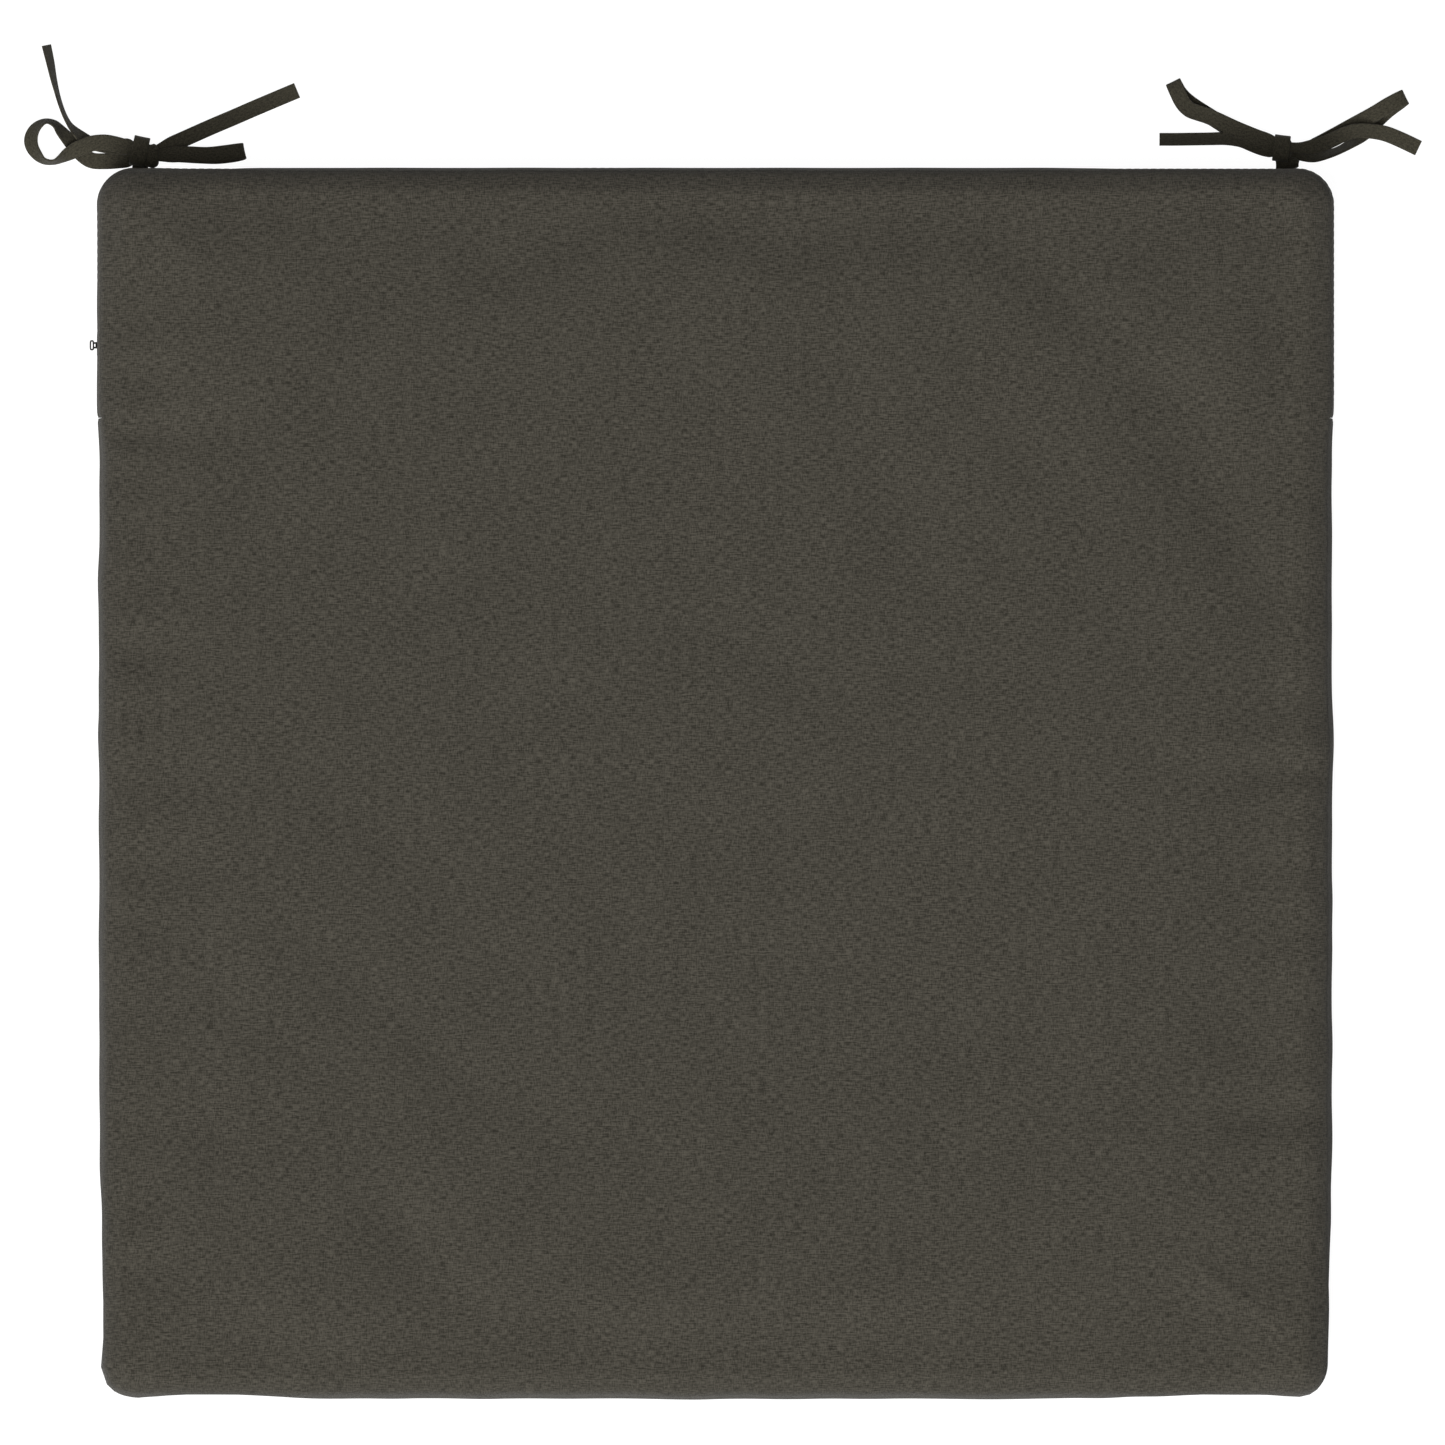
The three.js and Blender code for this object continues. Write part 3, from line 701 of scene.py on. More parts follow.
def crease_depth(xy):
    """How far creases sink below the top face, at a plan place."""
    total = np.zeros(xy.shape[:-1])
    for side, place, reach, width, depth, drift in CREASES:
        along, inwards = along_and_in(xy, side)
        run = inwards / (reach * MM)
        off = (along - place * MM - drift * inwards) / (0.5 * width * MM * (1 + 0.5 * run))
        fade = np.exp(-(np.maximum(run, 0) ** 2) * CREASE_FADE)
        fade = np.clip(inwards / CREASE_START, CREASE_START_SHARE, 1) * fade
        ridges = np.exp(-(((np.abs(off) - RIDGE_PLACE) / RIDGE_WIDTH) ** 2))
        total += depth * MM * (np.exp(-(off**2)) - RIDGE_SHARE * ridges) * fade
    return total


def bilinear(field, row, column, wrap):
    rows, columns = field.shape[:2]
    r0 = np.floor(row).astype(int)
    c0 = np.clip(np.floor(column).astype(int), 0, columns - 2)
    fr, fc = (row - r0)[..., None], (column - c0)[..., None]
    if wrap:
        r0, r1 = r0 % rows, (r0 + 1) % rows
    else:
        r0 = np.clip(r0, 0, rows - 2)
        fr, r1 = (row - r0)[..., None], r0 + 1
    upper = field[r0, c0] * (1 - fc) + field[r0, c0 + 1] * fc
    lower = field[r1, c0] * (1 - fc) + field[r1, c0 + 1] * fc
    return upper * (1 - fr) + lower * fr


def zip_share(xy):
    """1 along the zip band, 0 along the front band."""
    return smoothstep(CROSS_SEAM - BULGE_FADES[0], CROSS_SEAM + BULGE_FADES[1], xy[..., 1])


def side_move(steps, height, xy, out, bulging):
    """The swelling, the puckers and the zip band's bulge at places on the side. The cover's bulge
    fades beside the cross seams, and the chain's does not, so that the slider runs true on it."""
    column = np.interp(-height, -SIM_HEIGHTS, np.arange(len(SIM_HEIGHTS)))
    move = bilinear(SIDE_SWELL, np.mod(steps, ROUND), column, True)
    zipped = 1.0 if bulging == "chain" else zip_share(xy)
    inside_band = np.minimum(TOP_SEAM - height, height - BOTTOM_SEAM)
    belly = smoothstep(0, 10 * MM, inside_band)
    calm = 1 - (1 - ZIP_CALM) * zipped * belly
    move = move * calm[..., None]
    stand = pucker_height(xy, height) * calm
    if bulging:
        sideways = np.abs(out[..., 0])
        rounded = smoothstep(0, HEIGHT - TOP_SEAM, HEIGHT - height)
        rounded = rounded * smoothstep(0, BOTTOM_SEAM + 3 * MM, height)
        stand = stand + ZIP_BULGE * zipped * sideways * rounded
    move = move + out * stand[..., None]
    move[..., 2] = np.where(height < ROLL, np.maximum(move[..., 2], 0), move[..., 2])
    return move


def seam_pull(height, xy):
    """How far the cloth is drawn in beside the long seams and the cross seams."""
    off = np.minimum(np.abs(height - TOP_SEAM), np.abs(height - BOTTOM_SEAM))
    pull = SEAM_PULL * np.exp(-((off / SEAM_REACH) ** 2))
    across = np.abs(xy[..., 1] - CROSS_SEAM)
    between = smoothstep(0, 3 * MM, TOP_SEAM - height) * smoothstep(0, 3 * MM, height - BOTTOM_SEAM)
    return pull + CROSS_SEAM_PULL * np.exp(-((across / CROSS_SEAM_REACH) ** 2)) * between


def side_place(steps, height, side_depth=0.0, face_depth=0.0, bulging=False, pulled=True):
    """Where a place on the side, or below it, lies in the finished pad."""
    place, _ = bare_side(steps, height, side_depth, face_depth)
    steps, height = np.broadcast_arrays(np.asarray(steps, float), np.asarray(height, float))
    outer, out = bare_side(steps, height)
    xy = outer[..., :2]
    move = side_move(steps, height, xy, out, bulging)
    if pulled:
        move = move - out * seam_pull(height, xy)[..., None]
    sink = smoothstep(HEIGHT - ROLL, HEIGHT, height) * (FACE_SINK + crease_depth(xy))
    place = place + move
    place[..., 2] -= sink
    return place


def face_place(a, b, top, side_depth=0.0, face_depth=0.0):
    """Where a place on a face, or below it, lies in the finished pad."""
    flat = bare_face(a, b, side_depth)
    outer = bare_face(a, b)
    field = TOP_SWELL if top else BOTTOM_SWELL
    move = bilinear(field, 2 * a, 2 * b, False)
    _, reach = face_steps(a, b)
    level = HEIGHT - face_depth if top else face_depth
    place = np.concatenate([flat, np.full(flat.shape[:-1] + (1,), level)], -1) + move
    steps, _ = face_steps(a, b)
    _, out = outline(steps, 0)
    edge = smoothstep(0.82, 1, reach)
    stand = pucker_height(outer, np.full(reach.shape, HEIGHT if top else 0.0)) * edge
    place[..., :2] += out * stand[..., None]
    if top:
        place[..., 2] -= FACE_SINK + crease_depth(outer)
    return place


# ---------------------------------------------------------------------------------------------
# Building the layers
# ---------------------------------------------------------------------------------------------
FINE = 2  # mesh steps for each step of the plan


class Shape:
    """Collects vertices, cloth coordinates and faces of one piece."""

    def __init__(self):
        self.verts, self.uvs, self.faces = [], [], []
        self.count = 0

    def points(self, places, cloth=None):
        """Adds an array of places and gives back the array of their numbers."""
        places = np.asarray(places, float)
        shape = places.shape[:-1]
        flat = places.reshape(-1, 3)
        if cloth is None:
            cloth = flat[:, :2]
        self.verts.append(flat)
        self.uvs.append(np.asarray(cloth, float).reshape(-1, 2))
        numbers = np.arange(self.count, self.count + len(flat)).reshape(shape)
        self.count += len(flat)
        return numbers

    def grid(self, numbers, turned=False, around=False):
        """Quads over a grid of vertex numbers; around joins the last row to the first."""
        if around:
            numbers = np.concatenate([numbers, numbers[:1]])
        quads = np.stack([numbers[:-1, :-1], numbers[1:, :-1], numbers[1:, 1:], numbers[:-1, 1:]], -1)
        quads = quads.reshape(-1, 4)
        self.faces.append(quads[:, ::-1] if turned else quads)

    def build(self, name, crisp=None):
        verts, uvs, faces = np.vstack(self.verts), np.vstack(self.uvs), np.vstack(self.faces)
        obj = add_object(name, verts, faces.tolist(), uvs[faces.ravel()])
        if crisp is not None:
            obj.data.set_sharp_from_angle(angle=math.radians(crisp))
        return obj


def half_surface(shape, top, depths, heights, turned, bulging=False):
    """One face of the pad and its side down to the last height. Gives the last row's numbers."""
    a, b = np.meshgrid(*[np.linspace(0, STEPS, FINE * STEPS + 1)] * 2, indexing="ij")
    flat = bare_face(a, b)
    face = shape.points(face_place(a, b, top, *depths), flat)
    shape.grid(face, turned != (not top))
    steps = np.arange(0, ROUND, 1 / FINE)
    edge, out = outline(steps, ROLL)
    numbers = FINE * STEPS
    edge_numbers = []
    for k in range(4 * numbers):
        side, along = divmod(k, numbers)
        place = [(along, 0), (numbers, along), (numbers - along, numbers), (0, numbers - along)][side]
        edge_numbers.append(face[place])
    rows = [np.array(edge_numbers)]
    start = girth(HEIGHT if top else 0.0)
    for height in heights[1:]:
        cloth = edge + out * abs(girth(height) - start)
        rows.append(shape.points(side_place(steps, height, *depths, bulging=bulging), cloth))
    shape.grid(np.array(rows).T, turned != top, around=True)
    return rows[-1]


def half_shell(name, top, outer, inner, stop, bulging=False):
    """A closed layer between two pairs of depths, over one face of the pad and down to a height."""
    start = HEIGHT if top else 0.0
    heights = roll_heights(start, stop, 8 if abs(stop - start) < ROLL else 9)
    shape = Shape()
    outer_rim = half_surface(shape, top, outer, heights, False, bulging)
    inner_rim = half_surface(shape, top, inner, heights, True, bulging)
    shape.grid(np.stack([outer_rim, inner_rim], 1), not top, around=True)
    return shape.build(name)


def steps_at_seam(side, clearance):
    """Steps round the plan where a side meets the cross seam, less a clearance towards the rear."""
    steps = np.linspace(side * STEPS, (side + 1) * STEPS, 2001)
    y = outline(steps, 0)[0][:, 1]
    order = np.argsort(y)
    return float(np.interp(CROSS_SEAM + clearance, y[order], steps[order]))


REAR_RUN = (steps_at_seam(1, GAP / 2), steps_at_seam(3, GAP / 2))
FRONT_RUN = (steps_at_seam(3, -GAP / 2), steps_at_seam(1, -GAP / 2) + ROUND)


STEPS_BESIDE_SEAM = np.array([0, 0.1, 0.22, 0.38, 0.6, 0.85])


def run_steps(run):
    """Mesh steps along a run, with closer ones next to its ends, where the cross seams are."""
    start, end = run
    whole = np.arange(math.ceil(start + 1), math.floor(end - 1) + 0.5 / FINE, 1 / FINE)
    whole = whole[(whole > start + 1) & (whole < end - 1)]
    return np.concatenate([start + STEPS_BESIDE_SEAM, whole, (end - STEPS_BESIDE_SEAM)[::-1]])


def arc_at(steps):
    laps = np.floor_divide(steps, ROUND)
    return np.interp(np.mod(steps, ROUND), np.arange(ROUND + 1), ARC) + laps * ARC[-1]


def band(name, run, middle, thickness, bulging):
    """Cloth of even thickness along a run of the side. middle is its section's middle line, as
    (depth, height) places from one edge to the other."""
    steps = run_steps(run)
    line = np.array(middle)
    along = unit(np.gradient(line, axis=0))
    normal = np.stack([-along[:, 1], along[:, 0]], -1) * thickness / 2
    if line[1, 1] < line[0, 1]:
        normal = -normal
    cloth_across = np.concatenate([[0], np.cumsum(np.linalg.norm(np.diff(line, axis=0), axis=1))])
    shape = Shape()
    sheets = []
    for sign in (1, -1):
        rows = []
        for (depth, height), across in zip(line + sign * normal, cloth_across):
            place = side_place(steps, np.full(len(steps), height), depth, depth, bulging)
            rows.append(shape.points(place, np.stack([arc_at(steps), np.full(len(steps), across)], -1)))
        sheets.append(np.array(rows))
    turned = line[1, 1] > line[0, 1]
    outer, inner = sheets
    shape.grid(outer, not turned)
    shape.grid(inner, turned)
    for row in (0, -1):
        edges = np.stack([outer[row], inner[row]])
        shape.grid(edges, turned if row == 0 else not turned)
    for column in (0, -1):
        ends = np.stack([outer[:, column], inner[:, column]])
        shape.grid(ends, (not turned) if column == 0 else turned)
    obj = shape.build(name, crisp=50)
    set_outward(obj)
    return obj


def set_outward(obj):
    work = bmesh.new()
    work.from_mesh(obj.data)
    bmesh.ops.recalc_face_normals(work, faces=work.faces)
    work.to_mesh(obj.data)
    work.free()


# ---------------------------------------------------------------------------------------------
# Cover panels and bands
# ---------------------------------------------------------------------------------------------
COVER_THICKNESS = 1.0 * MM
HEM_WIDTH = 10 * MM
FOLD_GAP = 0.1 * MM


def add_cover():
    outer, inner = (0.0, 0.0), (COVER_THICKNESS, COVER_THICKNESS)
    top = half_shell("cover_top", True, outer, inner, TOP_SEAM + GAP / 2, bulging=True)
    bottom = half_shell("cover_bottom", False, outer, inner, BOTTOM_SEAM - GAP / 2, bulging=True)
    heights = roll_heights(TOP_SEAM - GAP / 2, BOTTOM_SEAM + GAP / 2, 18)
    middle = [(COVER_THICKNESS / 2, height) for height in heights]
    front = band("cover_front_band", FRONT_RUN, middle, COVER_THICKNESS, True)
    for obj, node in ((top, "top_panel"), (bottom, "bottom_panel"), (front, "front_band")):
        dress(obj, COVER, nodes=[node])
    return top, bottom, front


def strip_middle(side, edge):
    """The folded strip's section: down from the long seam, round the fold and back up inside."""
    seam = ZIP_HEIGHT + side * (TOP_SEAM - GAP / 2 - ZIP_HEIGHT)
    turn = (COVER_THICKNESS + FOLD_GAP) / 2
    outer_depth = COVER_THICKNESS / 2
    fold = ZIP_HEIGHT + side * (edge + turn + COVER_THICKNESS / 2)
    line = [(outer_depth, height) for height in roll_heights(seam, fold, 9)]
    for angle in np.radians([30, 60, 90, 120, 150]):
        line.append((outer_depth + turn * (1 - math.cos(angle)), fold - side * turn * math.sin(angle)))
    hem_end = ZIP_HEIGHT + side * (edge + HEM_WIDTH)
    line += [(outer_depth + 2 * turn, height) for height in np.linspace(fold, hem_end, 6)]
    return line


TAPE_DEPTH = 2.95 * MM
TAPE_THICKNESS = 0.5 * MM
CHAIN_SLOT = 1 * MM
TAPE_WIDTH = 12 * MM
COIL_DEPTH = 1.8 * MM
COIL_WIDTH = 2.6 * MM
COIL_THICKNESS = 1.2 * MM
COIL_WIRE = 0.28 * MM  # radius
COIL_PITCH = 1.5 * MM
COIL_REACH = 0.25 * MM  # the loops' heads come this much closer to the other half's than the frame's
COIL_SECTION = 6
COIL_TURN_POINTS = 10


def add_coil(name, node, side):
    """One half of the chain: a nylon wire wound round and round along the tape's edge."""
    start, end = arc_at(np.array(REAR_RUN)) + np.array([GAP, -GAP]) * 2
    turns = int((end - start) / COIL_PITCH)
    angle = np.arange(turns * COIL_TURN_POINTS + 1) * 2 * math.pi / COIL_TURN_POINTS
    if side < 0:
        angle = angle + math.pi
    advance = np.linspace(start, end, len(angle))
    steps = np.interp(advance, ARC, np.arange(ROUND + 1))
    reach = (COIL_WIDTH + COIL_REACH) / 2
    level = ZIP_HEIGHT + side * (CHAIN_SLOT / 2 + COIL_WIDTH - reach)
    height = level + side * (reach - COIL_WIRE) * np.cos(angle)
    depth = COIL_DEPTH + (COIL_THICKNESS / 2 - COIL_WIRE) * np.sin(angle)
    base = side_place(steps, height, 0, 0, "chain")
    _, out = outline(steps, 0)
    line = base - np.concatenate([out, np.zeros((len(out), 1))], -1) * depth[:, None]
    middle = side_place(steps, np.full(len(steps), level), 0, 0, "chain")
    middle = middle - np.concatenate([out, np.zeros((len(out), 1))], -1) * COIL_DEPTH
    ahead = unit(np.gradient(line, axis=0))
    radial = unit(line - middle)
    radial = unit(radial - ahead * (radial * ahead).sum(-1, keepdims=True))
    other = np.cross(ahead, radial)
    shape = Shape()
    rows = []
    for k in range(COIL_SECTION):
        turn = 2 * math.pi * k / COIL_SECTION
        rows.append(shape.points(line + COIL_WIRE * (radial * math.cos(turn) + other * math.sin(turn))))
    shape.grid(np.array(rows), around=True)
    coil = shape.build(name)
    close_ends(coil)
    return dress(coil, NYLON, nodes=[node])


def close_ends(obj):
    work = bmesh.new()
    work.from_mesh(obj.data)
    bmesh.ops.holes_fill(work, edges=[e for e in work.edges if e.is_boundary])
    bmesh.ops.recalc_face_normals(work, faces=work.faces)
    work.to_mesh(obj.data)
    work.free()


STITCH_LENGTH = 2.6 * MM
STITCH_PITCH = 3.4 * MM
STITCH_WIDTH = 0.5 * MM
STITCH_RISE = 0.1 * MM
STITCH_FROM_FOLD = 2.2 * MM


def add_stitching(name, side, edge):
    """A row of lockstitches that holds the folded edge to the tape."""
    start, end = arc_at(np.array(REAR_RUN)) + np.array([1, -1]) * STITCH_PITCH
    middles = np.arange(start, end, STITCH_PITCH)
    height = ZIP_HEIGHT + side * (edge + STITCH_FROM_FOLD)
    along = np.linspace(-0.5, 0.5, 7)
    turns = np.linspace(0, 2 * math.pi, 8, endpoint=False)
    arc = middles[:, None, None] + along[None, :, None] * STITCH_LENGTH
    swell = np.sqrt(np.clip(1 - (2 * along) ** 4, 0.02, 1))[None, :, None]
    steps = np.interp(arc, ARC, np.arange(ROUND + 1))
    heights = height + STITCH_WIDTH / 2 * swell * np.cos(turns)[None, None, :]
    rise = STITCH_RISE * swell * np.sin(turns)[None, None, :]
    steps, heights, rise = np.broadcast_arrays(steps, heights, rise)
    _, out = outline(steps, 0)
    place = side_place(steps, heights, 0, 0, True)
    place = place + np.concatenate([out, np.zeros(out.shape[:-1] + (1,))], -1) * rise[..., None]
    shape = Shape()
    numbers = shape.points(place, np.stack([np.broadcast_to(arc, heights.shape), heights], -1))
    for stitch in numbers:
        shape.grid(stitch.T, around=True)
    obj = shape.build(name)
    close_ends(obj)
    return dress(obj, THREAD)


def add_zip():
    strips = []
    for name, side in (("upper", 1), ("lower", -1)):
        edge = (ZIP_TOP - ZIP_BOTTOM) / 2
        strip = band(f"cover_zip_strip_{name}", REAR_RUN, strip_middle(side, edge), COVER_THICKNESS, True)
        dress(strip, COVER, nodes=[f"zip_band_{name}"])
        near = ZIP_HEIGHT + side * CHAIN_SLOT / 2
        heights = np.linspace(near, near + side * TAPE_WIDTH, 7)
        middle = [(TAPE_DEPTH, height) for height in heights]
        tape = band(f"tape_{name}", REAR_RUN, middle, TAPE_THICKNESS, "chain")
        dress(tape, TAPE, nodes=[f"zip_tape_{name}"])
        add_coil(f"coil_{name}", f"zip_coil_{name}", side)
        stitching = add_stitching(f"zip_stitching_{name}", side, edge)
        strips.append((strip, tape, stitching))
    return strips


# ---------------------------------------------------------------------------------------------
# Inner cushion
# ---------------------------------------------------------------------------------------------
CASING = (3.5 * MM, 1.5 * MM, 0.6 * MM)  # depth at the sides, depth at the faces, thickness
WADDING_LAYER = (4.4 * MM, 2.4 * MM, 6 * MM)
FOAM_DEPTHS = (10.7 * MM, 8.7 * MM)


def add_layer(name, layer, material):
    side, face, thickness = layer
    halves = []
    for half, top in (("top", True), ("bottom", False)):
        stop = HEIGHT / 2 + (GAP / 2 if top else -GAP / 2)
        inner = (side + thickness, face + thickness)
        obj = half_shell(f"cushion_{name}_{half}", top, (side, face), inner, stop)
        node = f"inner_casing_{half}" if name == "casing" else f"wadding_{half}"
        halves.append(dress(obj, material, nodes=[node]))
    return halves


def add_foam():
    shape = Shape()
    upper = half_surface(shape, True, FOAM_DEPTHS, roll_heights(HEIGHT, HEIGHT / 2, 7), False)
    lower = half_surface(shape, False, FOAM_DEPTHS, roll_heights(0.0, HEIGHT / 2, 7), False)
    shape.grid(np.stack([upper, lower], 1), False, around=True)
    foam = shape.build("cushion_foam")
    work = bmesh.new()
    work.from_mesh(foam.data)
    bmesh.ops.remove_doubles(work, verts=work.verts, dist=0.01 * MM)
    bmesh.ops.recalc_face_normals(work, faces=work.faces)
    work.to_mesh(foam.data)
    work.free()
    return dress(foam, FOAM, nodes=["foam_core"])


# ---------------------------------------------------------------------------------------------
# Ties: flat ribbons. Each strand leaves the pad in the stub, goes through the knot, makes a loop,
# goes through the knot again and ends in a tail. Stops are x, y, z in metres from the middle of the
# stub at the pad's rear edge, then the way the ribbon's width points, as a heading and a tilt.
# ---------------------------------------------------------------------------------------------
TIE_WIDTH = 6.5 * MM
TIE_THICKNESS = 0.8 * MM
RIBBON_POINTS_PER_STOP = 6

LEFT_ROUTES = {
    "loop_a": [
        (-0.0045, 0.009, 0.0064, 88, 0),
        (-0.007, 0.0092, 0.0068, 84, 0),
        (-0.0104, 0.0101, 0.0071, 82, 0),
        (-0.0147, 0.0108, 0.0071, 90, 0),
        (-0.0195, 0.0104, 0.0068, 105, 0),
        (-0.0228, 0.0093, 0.0064, 110, 5),
        (-0.0257, 0.0081, 0.0059, 117, 12),
        (-0.0289, 0.0063, 0.0049, 122, 32),
        (-0.0322, 0.0042, 0.0041, 118, 60),
        (-0.0354, 0.0028, 0.0038, 100, 75),
        (-0.0391, 0.0032, 0.0036, 70, 70),
        (-0.0419, 0.0055, 0.0032, 38, 52),
        (-0.0441, 0.0088, 0.0026, 15, 38),
        (-0.0447, 0.012, 0.0023, -5, 33),
        (-0.0437, 0.0153, 0.0027, -28, 44),
        (-0.0414, 0.018, 0.0033, -52, 60),
        (-0.0383, 0.0195, 0.0036, -85, 74),
        (-0.035, 0.0184, 0.0035, -115, 66),
        (-0.0326, 0.0157, 0.003, -132, 50),
        (-0.0296, 0.0123, 0.0023, -137, 34),
        (-0.0265, 0.009, 0.0016, -137, 15),
        (-0.0232, 0.0055, 0.0012, -128, 5),
        (-0.0195, 0.0034, 0.0012, -110, 0),
        (-0.0138, 0.0032, 0.0015, -90, 0),
        (-0.009, 0.0035, 0.0015, -85, 0),
        (-0.0047, 0.004, 0.0016, -86, 0),
    ],
    "loop_b": [
        (0.0073, 0.0054, 0.0058, 92, 0),
        (0.013, 0.0058, 0.0068, 90, 0),
        (0.019, 0.006, 0.0072, 88, 0),
        (0.027, 0.0057, 0.007, 92, 0),
        (0.034, 0.0064, 0.0061, 96, 0),
        (0.039, 0.0071, 0.005, 99, 0),
        (0.0417, 0.0074, 0.0037, 102, 0),
        (0.042, 0.0072, 0.0023, 102, 0),
        (0.0406, 0.0066, 0.0011, 100, 0),
        (0.037, 0.0059, 0.0007, 96, 0),
        (0.031, 0.0053, 0.0006, 92, 0),
        (0.024, 0.0055, 0.0006, 90, 0),
        (0.017, 0.0059, 0.0008, 88, 0),
        (0.012, 0.0061, 0.0013, 88, 0),
        (0.0073, 0.006, 0.002, 90, 0),
    ],
    "tail_a": [
        (-0.0045, 0.009, 0.0038, 90, -12),
        (-0.01, 0.0088, 0.0033, 90, -30),
        (-0.015, 0.0092, 0.003, 86, -40),
        (-0.0195, 0.0103, 0.003, 70, -42),
        (-0.0232, 0.0124, 0.0029, 53, -44),
        (-0.0263, 0.0151, 0.0033, 45, -60),
        (-0.0289, 0.0181, 0.0035, 35, -74),
        (-0.031, 0.022, 0.0036, 25, -78),
        (-0.0328, 0.0268, 0.0036, 18, -78),
        (-0.0342, 0.0317, 0.0036, 15, -76),
        (-0.0356, 0.0375, 0.0035, 13, -70),
        (-0.0368, 0.0435, 0.0033, 13, -63),
        (-0.0384, 0.0505, 0.0032, 13, -58),
    ],
    "tail_b": [
        (0.0088, 0.0083, 0.004, 114, 0),
        (0.012, 0.0097, 0.004, 114, 0),
        (0.017, 0.0119, 0.0036, 114, 0),
        (0.023, 0.0146, 0.0026, 114, 0),
        (0.03, 0.0177, 0.0015, 114, 0),
        (0.038, 0.0211, 0.0008, 114, 0),
        (0.0465, 0.0248, 0.0006, 113, 0),
        (0.055, 0.0284, 0.0006, 113, 0),
        (0.0638, 0.0321, 0.0006, 112, 0),
    ],
}
RIGHT_ROUTES = {
    "loop_a": [
        (-0.0062, 0.011, 0.0072, 70, 0),
        (-0.012, 0.0132, 0.0077, 65, 0),
        (-0.02, 0.0165, 0.008, 63, 0),
        (-0.026, 0.0193, 0.0078, 62, 5),
        (-0.031, 0.0215, 0.0072, 68, 10),
        (-0.035, 0.0228, 0.0065, 68, 12),
        (-0.0382, 0.024, 0.0059, 55, 12),
        (-0.0404, 0.0259, 0.0055, 42, 10),
        (-0.0419, 0.0281, 0.0052, 32, 8),
        (-0.0431, 0.0306, 0.0049, 27, 5),
        (-0.0443, 0.0333, 0.0043, 26, 0),
        (-0.045, 0.0351, 0.0032, 26, 0),
        (-0.045, 0.0352, 0.002, 26, 0),
        (-0.0441, 0.0335, 0.0011, 26, 0),
        (-0.0426, 0.031, 0.0009, 30, 0),
        (-0.04, 0.0282, 0.001, 42, 0),
        (-0.036, 0.0252, 0.0012, 54, 0),
        (-0.0295, 0.0211, 0.0013, 57, 0),
        (-0.0222, 0.0166, 0.0014, 60, 0),
        (-0.015, 0.0136, 0.0017, 65, 0),
        (-0.009, 0.0116, 0.0023, 70, 0),
        (-0.006, 0.0108, 0.0026, 74, 0),
    ],
    "loop_b": [
        (0.0039, 0.0085, 0.0045, -92, 0),
        (0.008, 0.0083, 0.0045, -84, 0),
        (0.0122, 0.0092, 0.0044, -70, 0),
        (0.02, 0.0132, 0.0043, -61, 0),
        (0.028, 0.0176, 0.0048, -61, 0),
        (0.0366, 0.0223, 0.0056, -60, 0),
        (0.042, 0.0256, 0.0054, -62, 0),
        (0.0464, 0.028, 0.0047, -64, 0),
        (0.049, 0.0292, 0.0035, -64, 0),
        (0.0491, 0.0291, 0.0021, -64, 0),
        (0.0468, 0.0273, 0.0011, -62, 0),
        (0.042, 0.0237, 0.0009, -54, 5),
        (0.037, 0.019, 0.0011, -48, 12),
        (0.0324, 0.0144, 0.0019, -45, 24),
        (0.0274, 0.0104, 0.0031, -48, 55),
        (0.0206, 0.0069, 0.0033, -63, 62),
        (0.0136, 0.0054, 0.0028, -83, 42),
        (0.0084, 0.0054, 0.0022, -93, 25),
        (0.0043, 0.006, 0.0019, -97, 10),
    ],
    "tail_a": [
        (-0.006, 0.008, 0.005, 78, 0),
        (-0.009, 0.0087, 0.005, 76, 10),
        (-0.0125, 0.0099, 0.0049, 73, 20),
        (-0.0175, 0.0117, 0.0045, 78, 30),
        (-0.0235, 0.0124, 0.0037, 88, 38),
        (-0.03, 0.0123, 0.0029, 90, 41),
        (-0.037, 0.0122, 0.0026, 90, 41),
        (-0.044, 0.0121, 0.0026, 90, 41),
        (-0.0507, 0.0121, 0.0026, 90, 41),
    ],
    "tail_b": [
        (0.0039, 0.0088, 0.0074, -90, 0),
        (0.0082, 0.0087, 0.0076, -86, -10),
        (0.0136, 0.0095, 0.0076, -74, -20),
        (0.0195, 0.0117, 0.0076, -66, -25),
        (0.0245, 0.0141, 0.0079, -68, -27),
        (0.0296, 0.0155, 0.0077, -82, -27),
        (0.0353, 0.0154, 0.0062, -94, -24),
        (0.0413, 0.0144, 0.004, -104, -16),
        (0.0477, 0.0119, 0.002, -114, -8),
        (0.0549, 0.0085, 0.001, -115, 0),
    ],
}
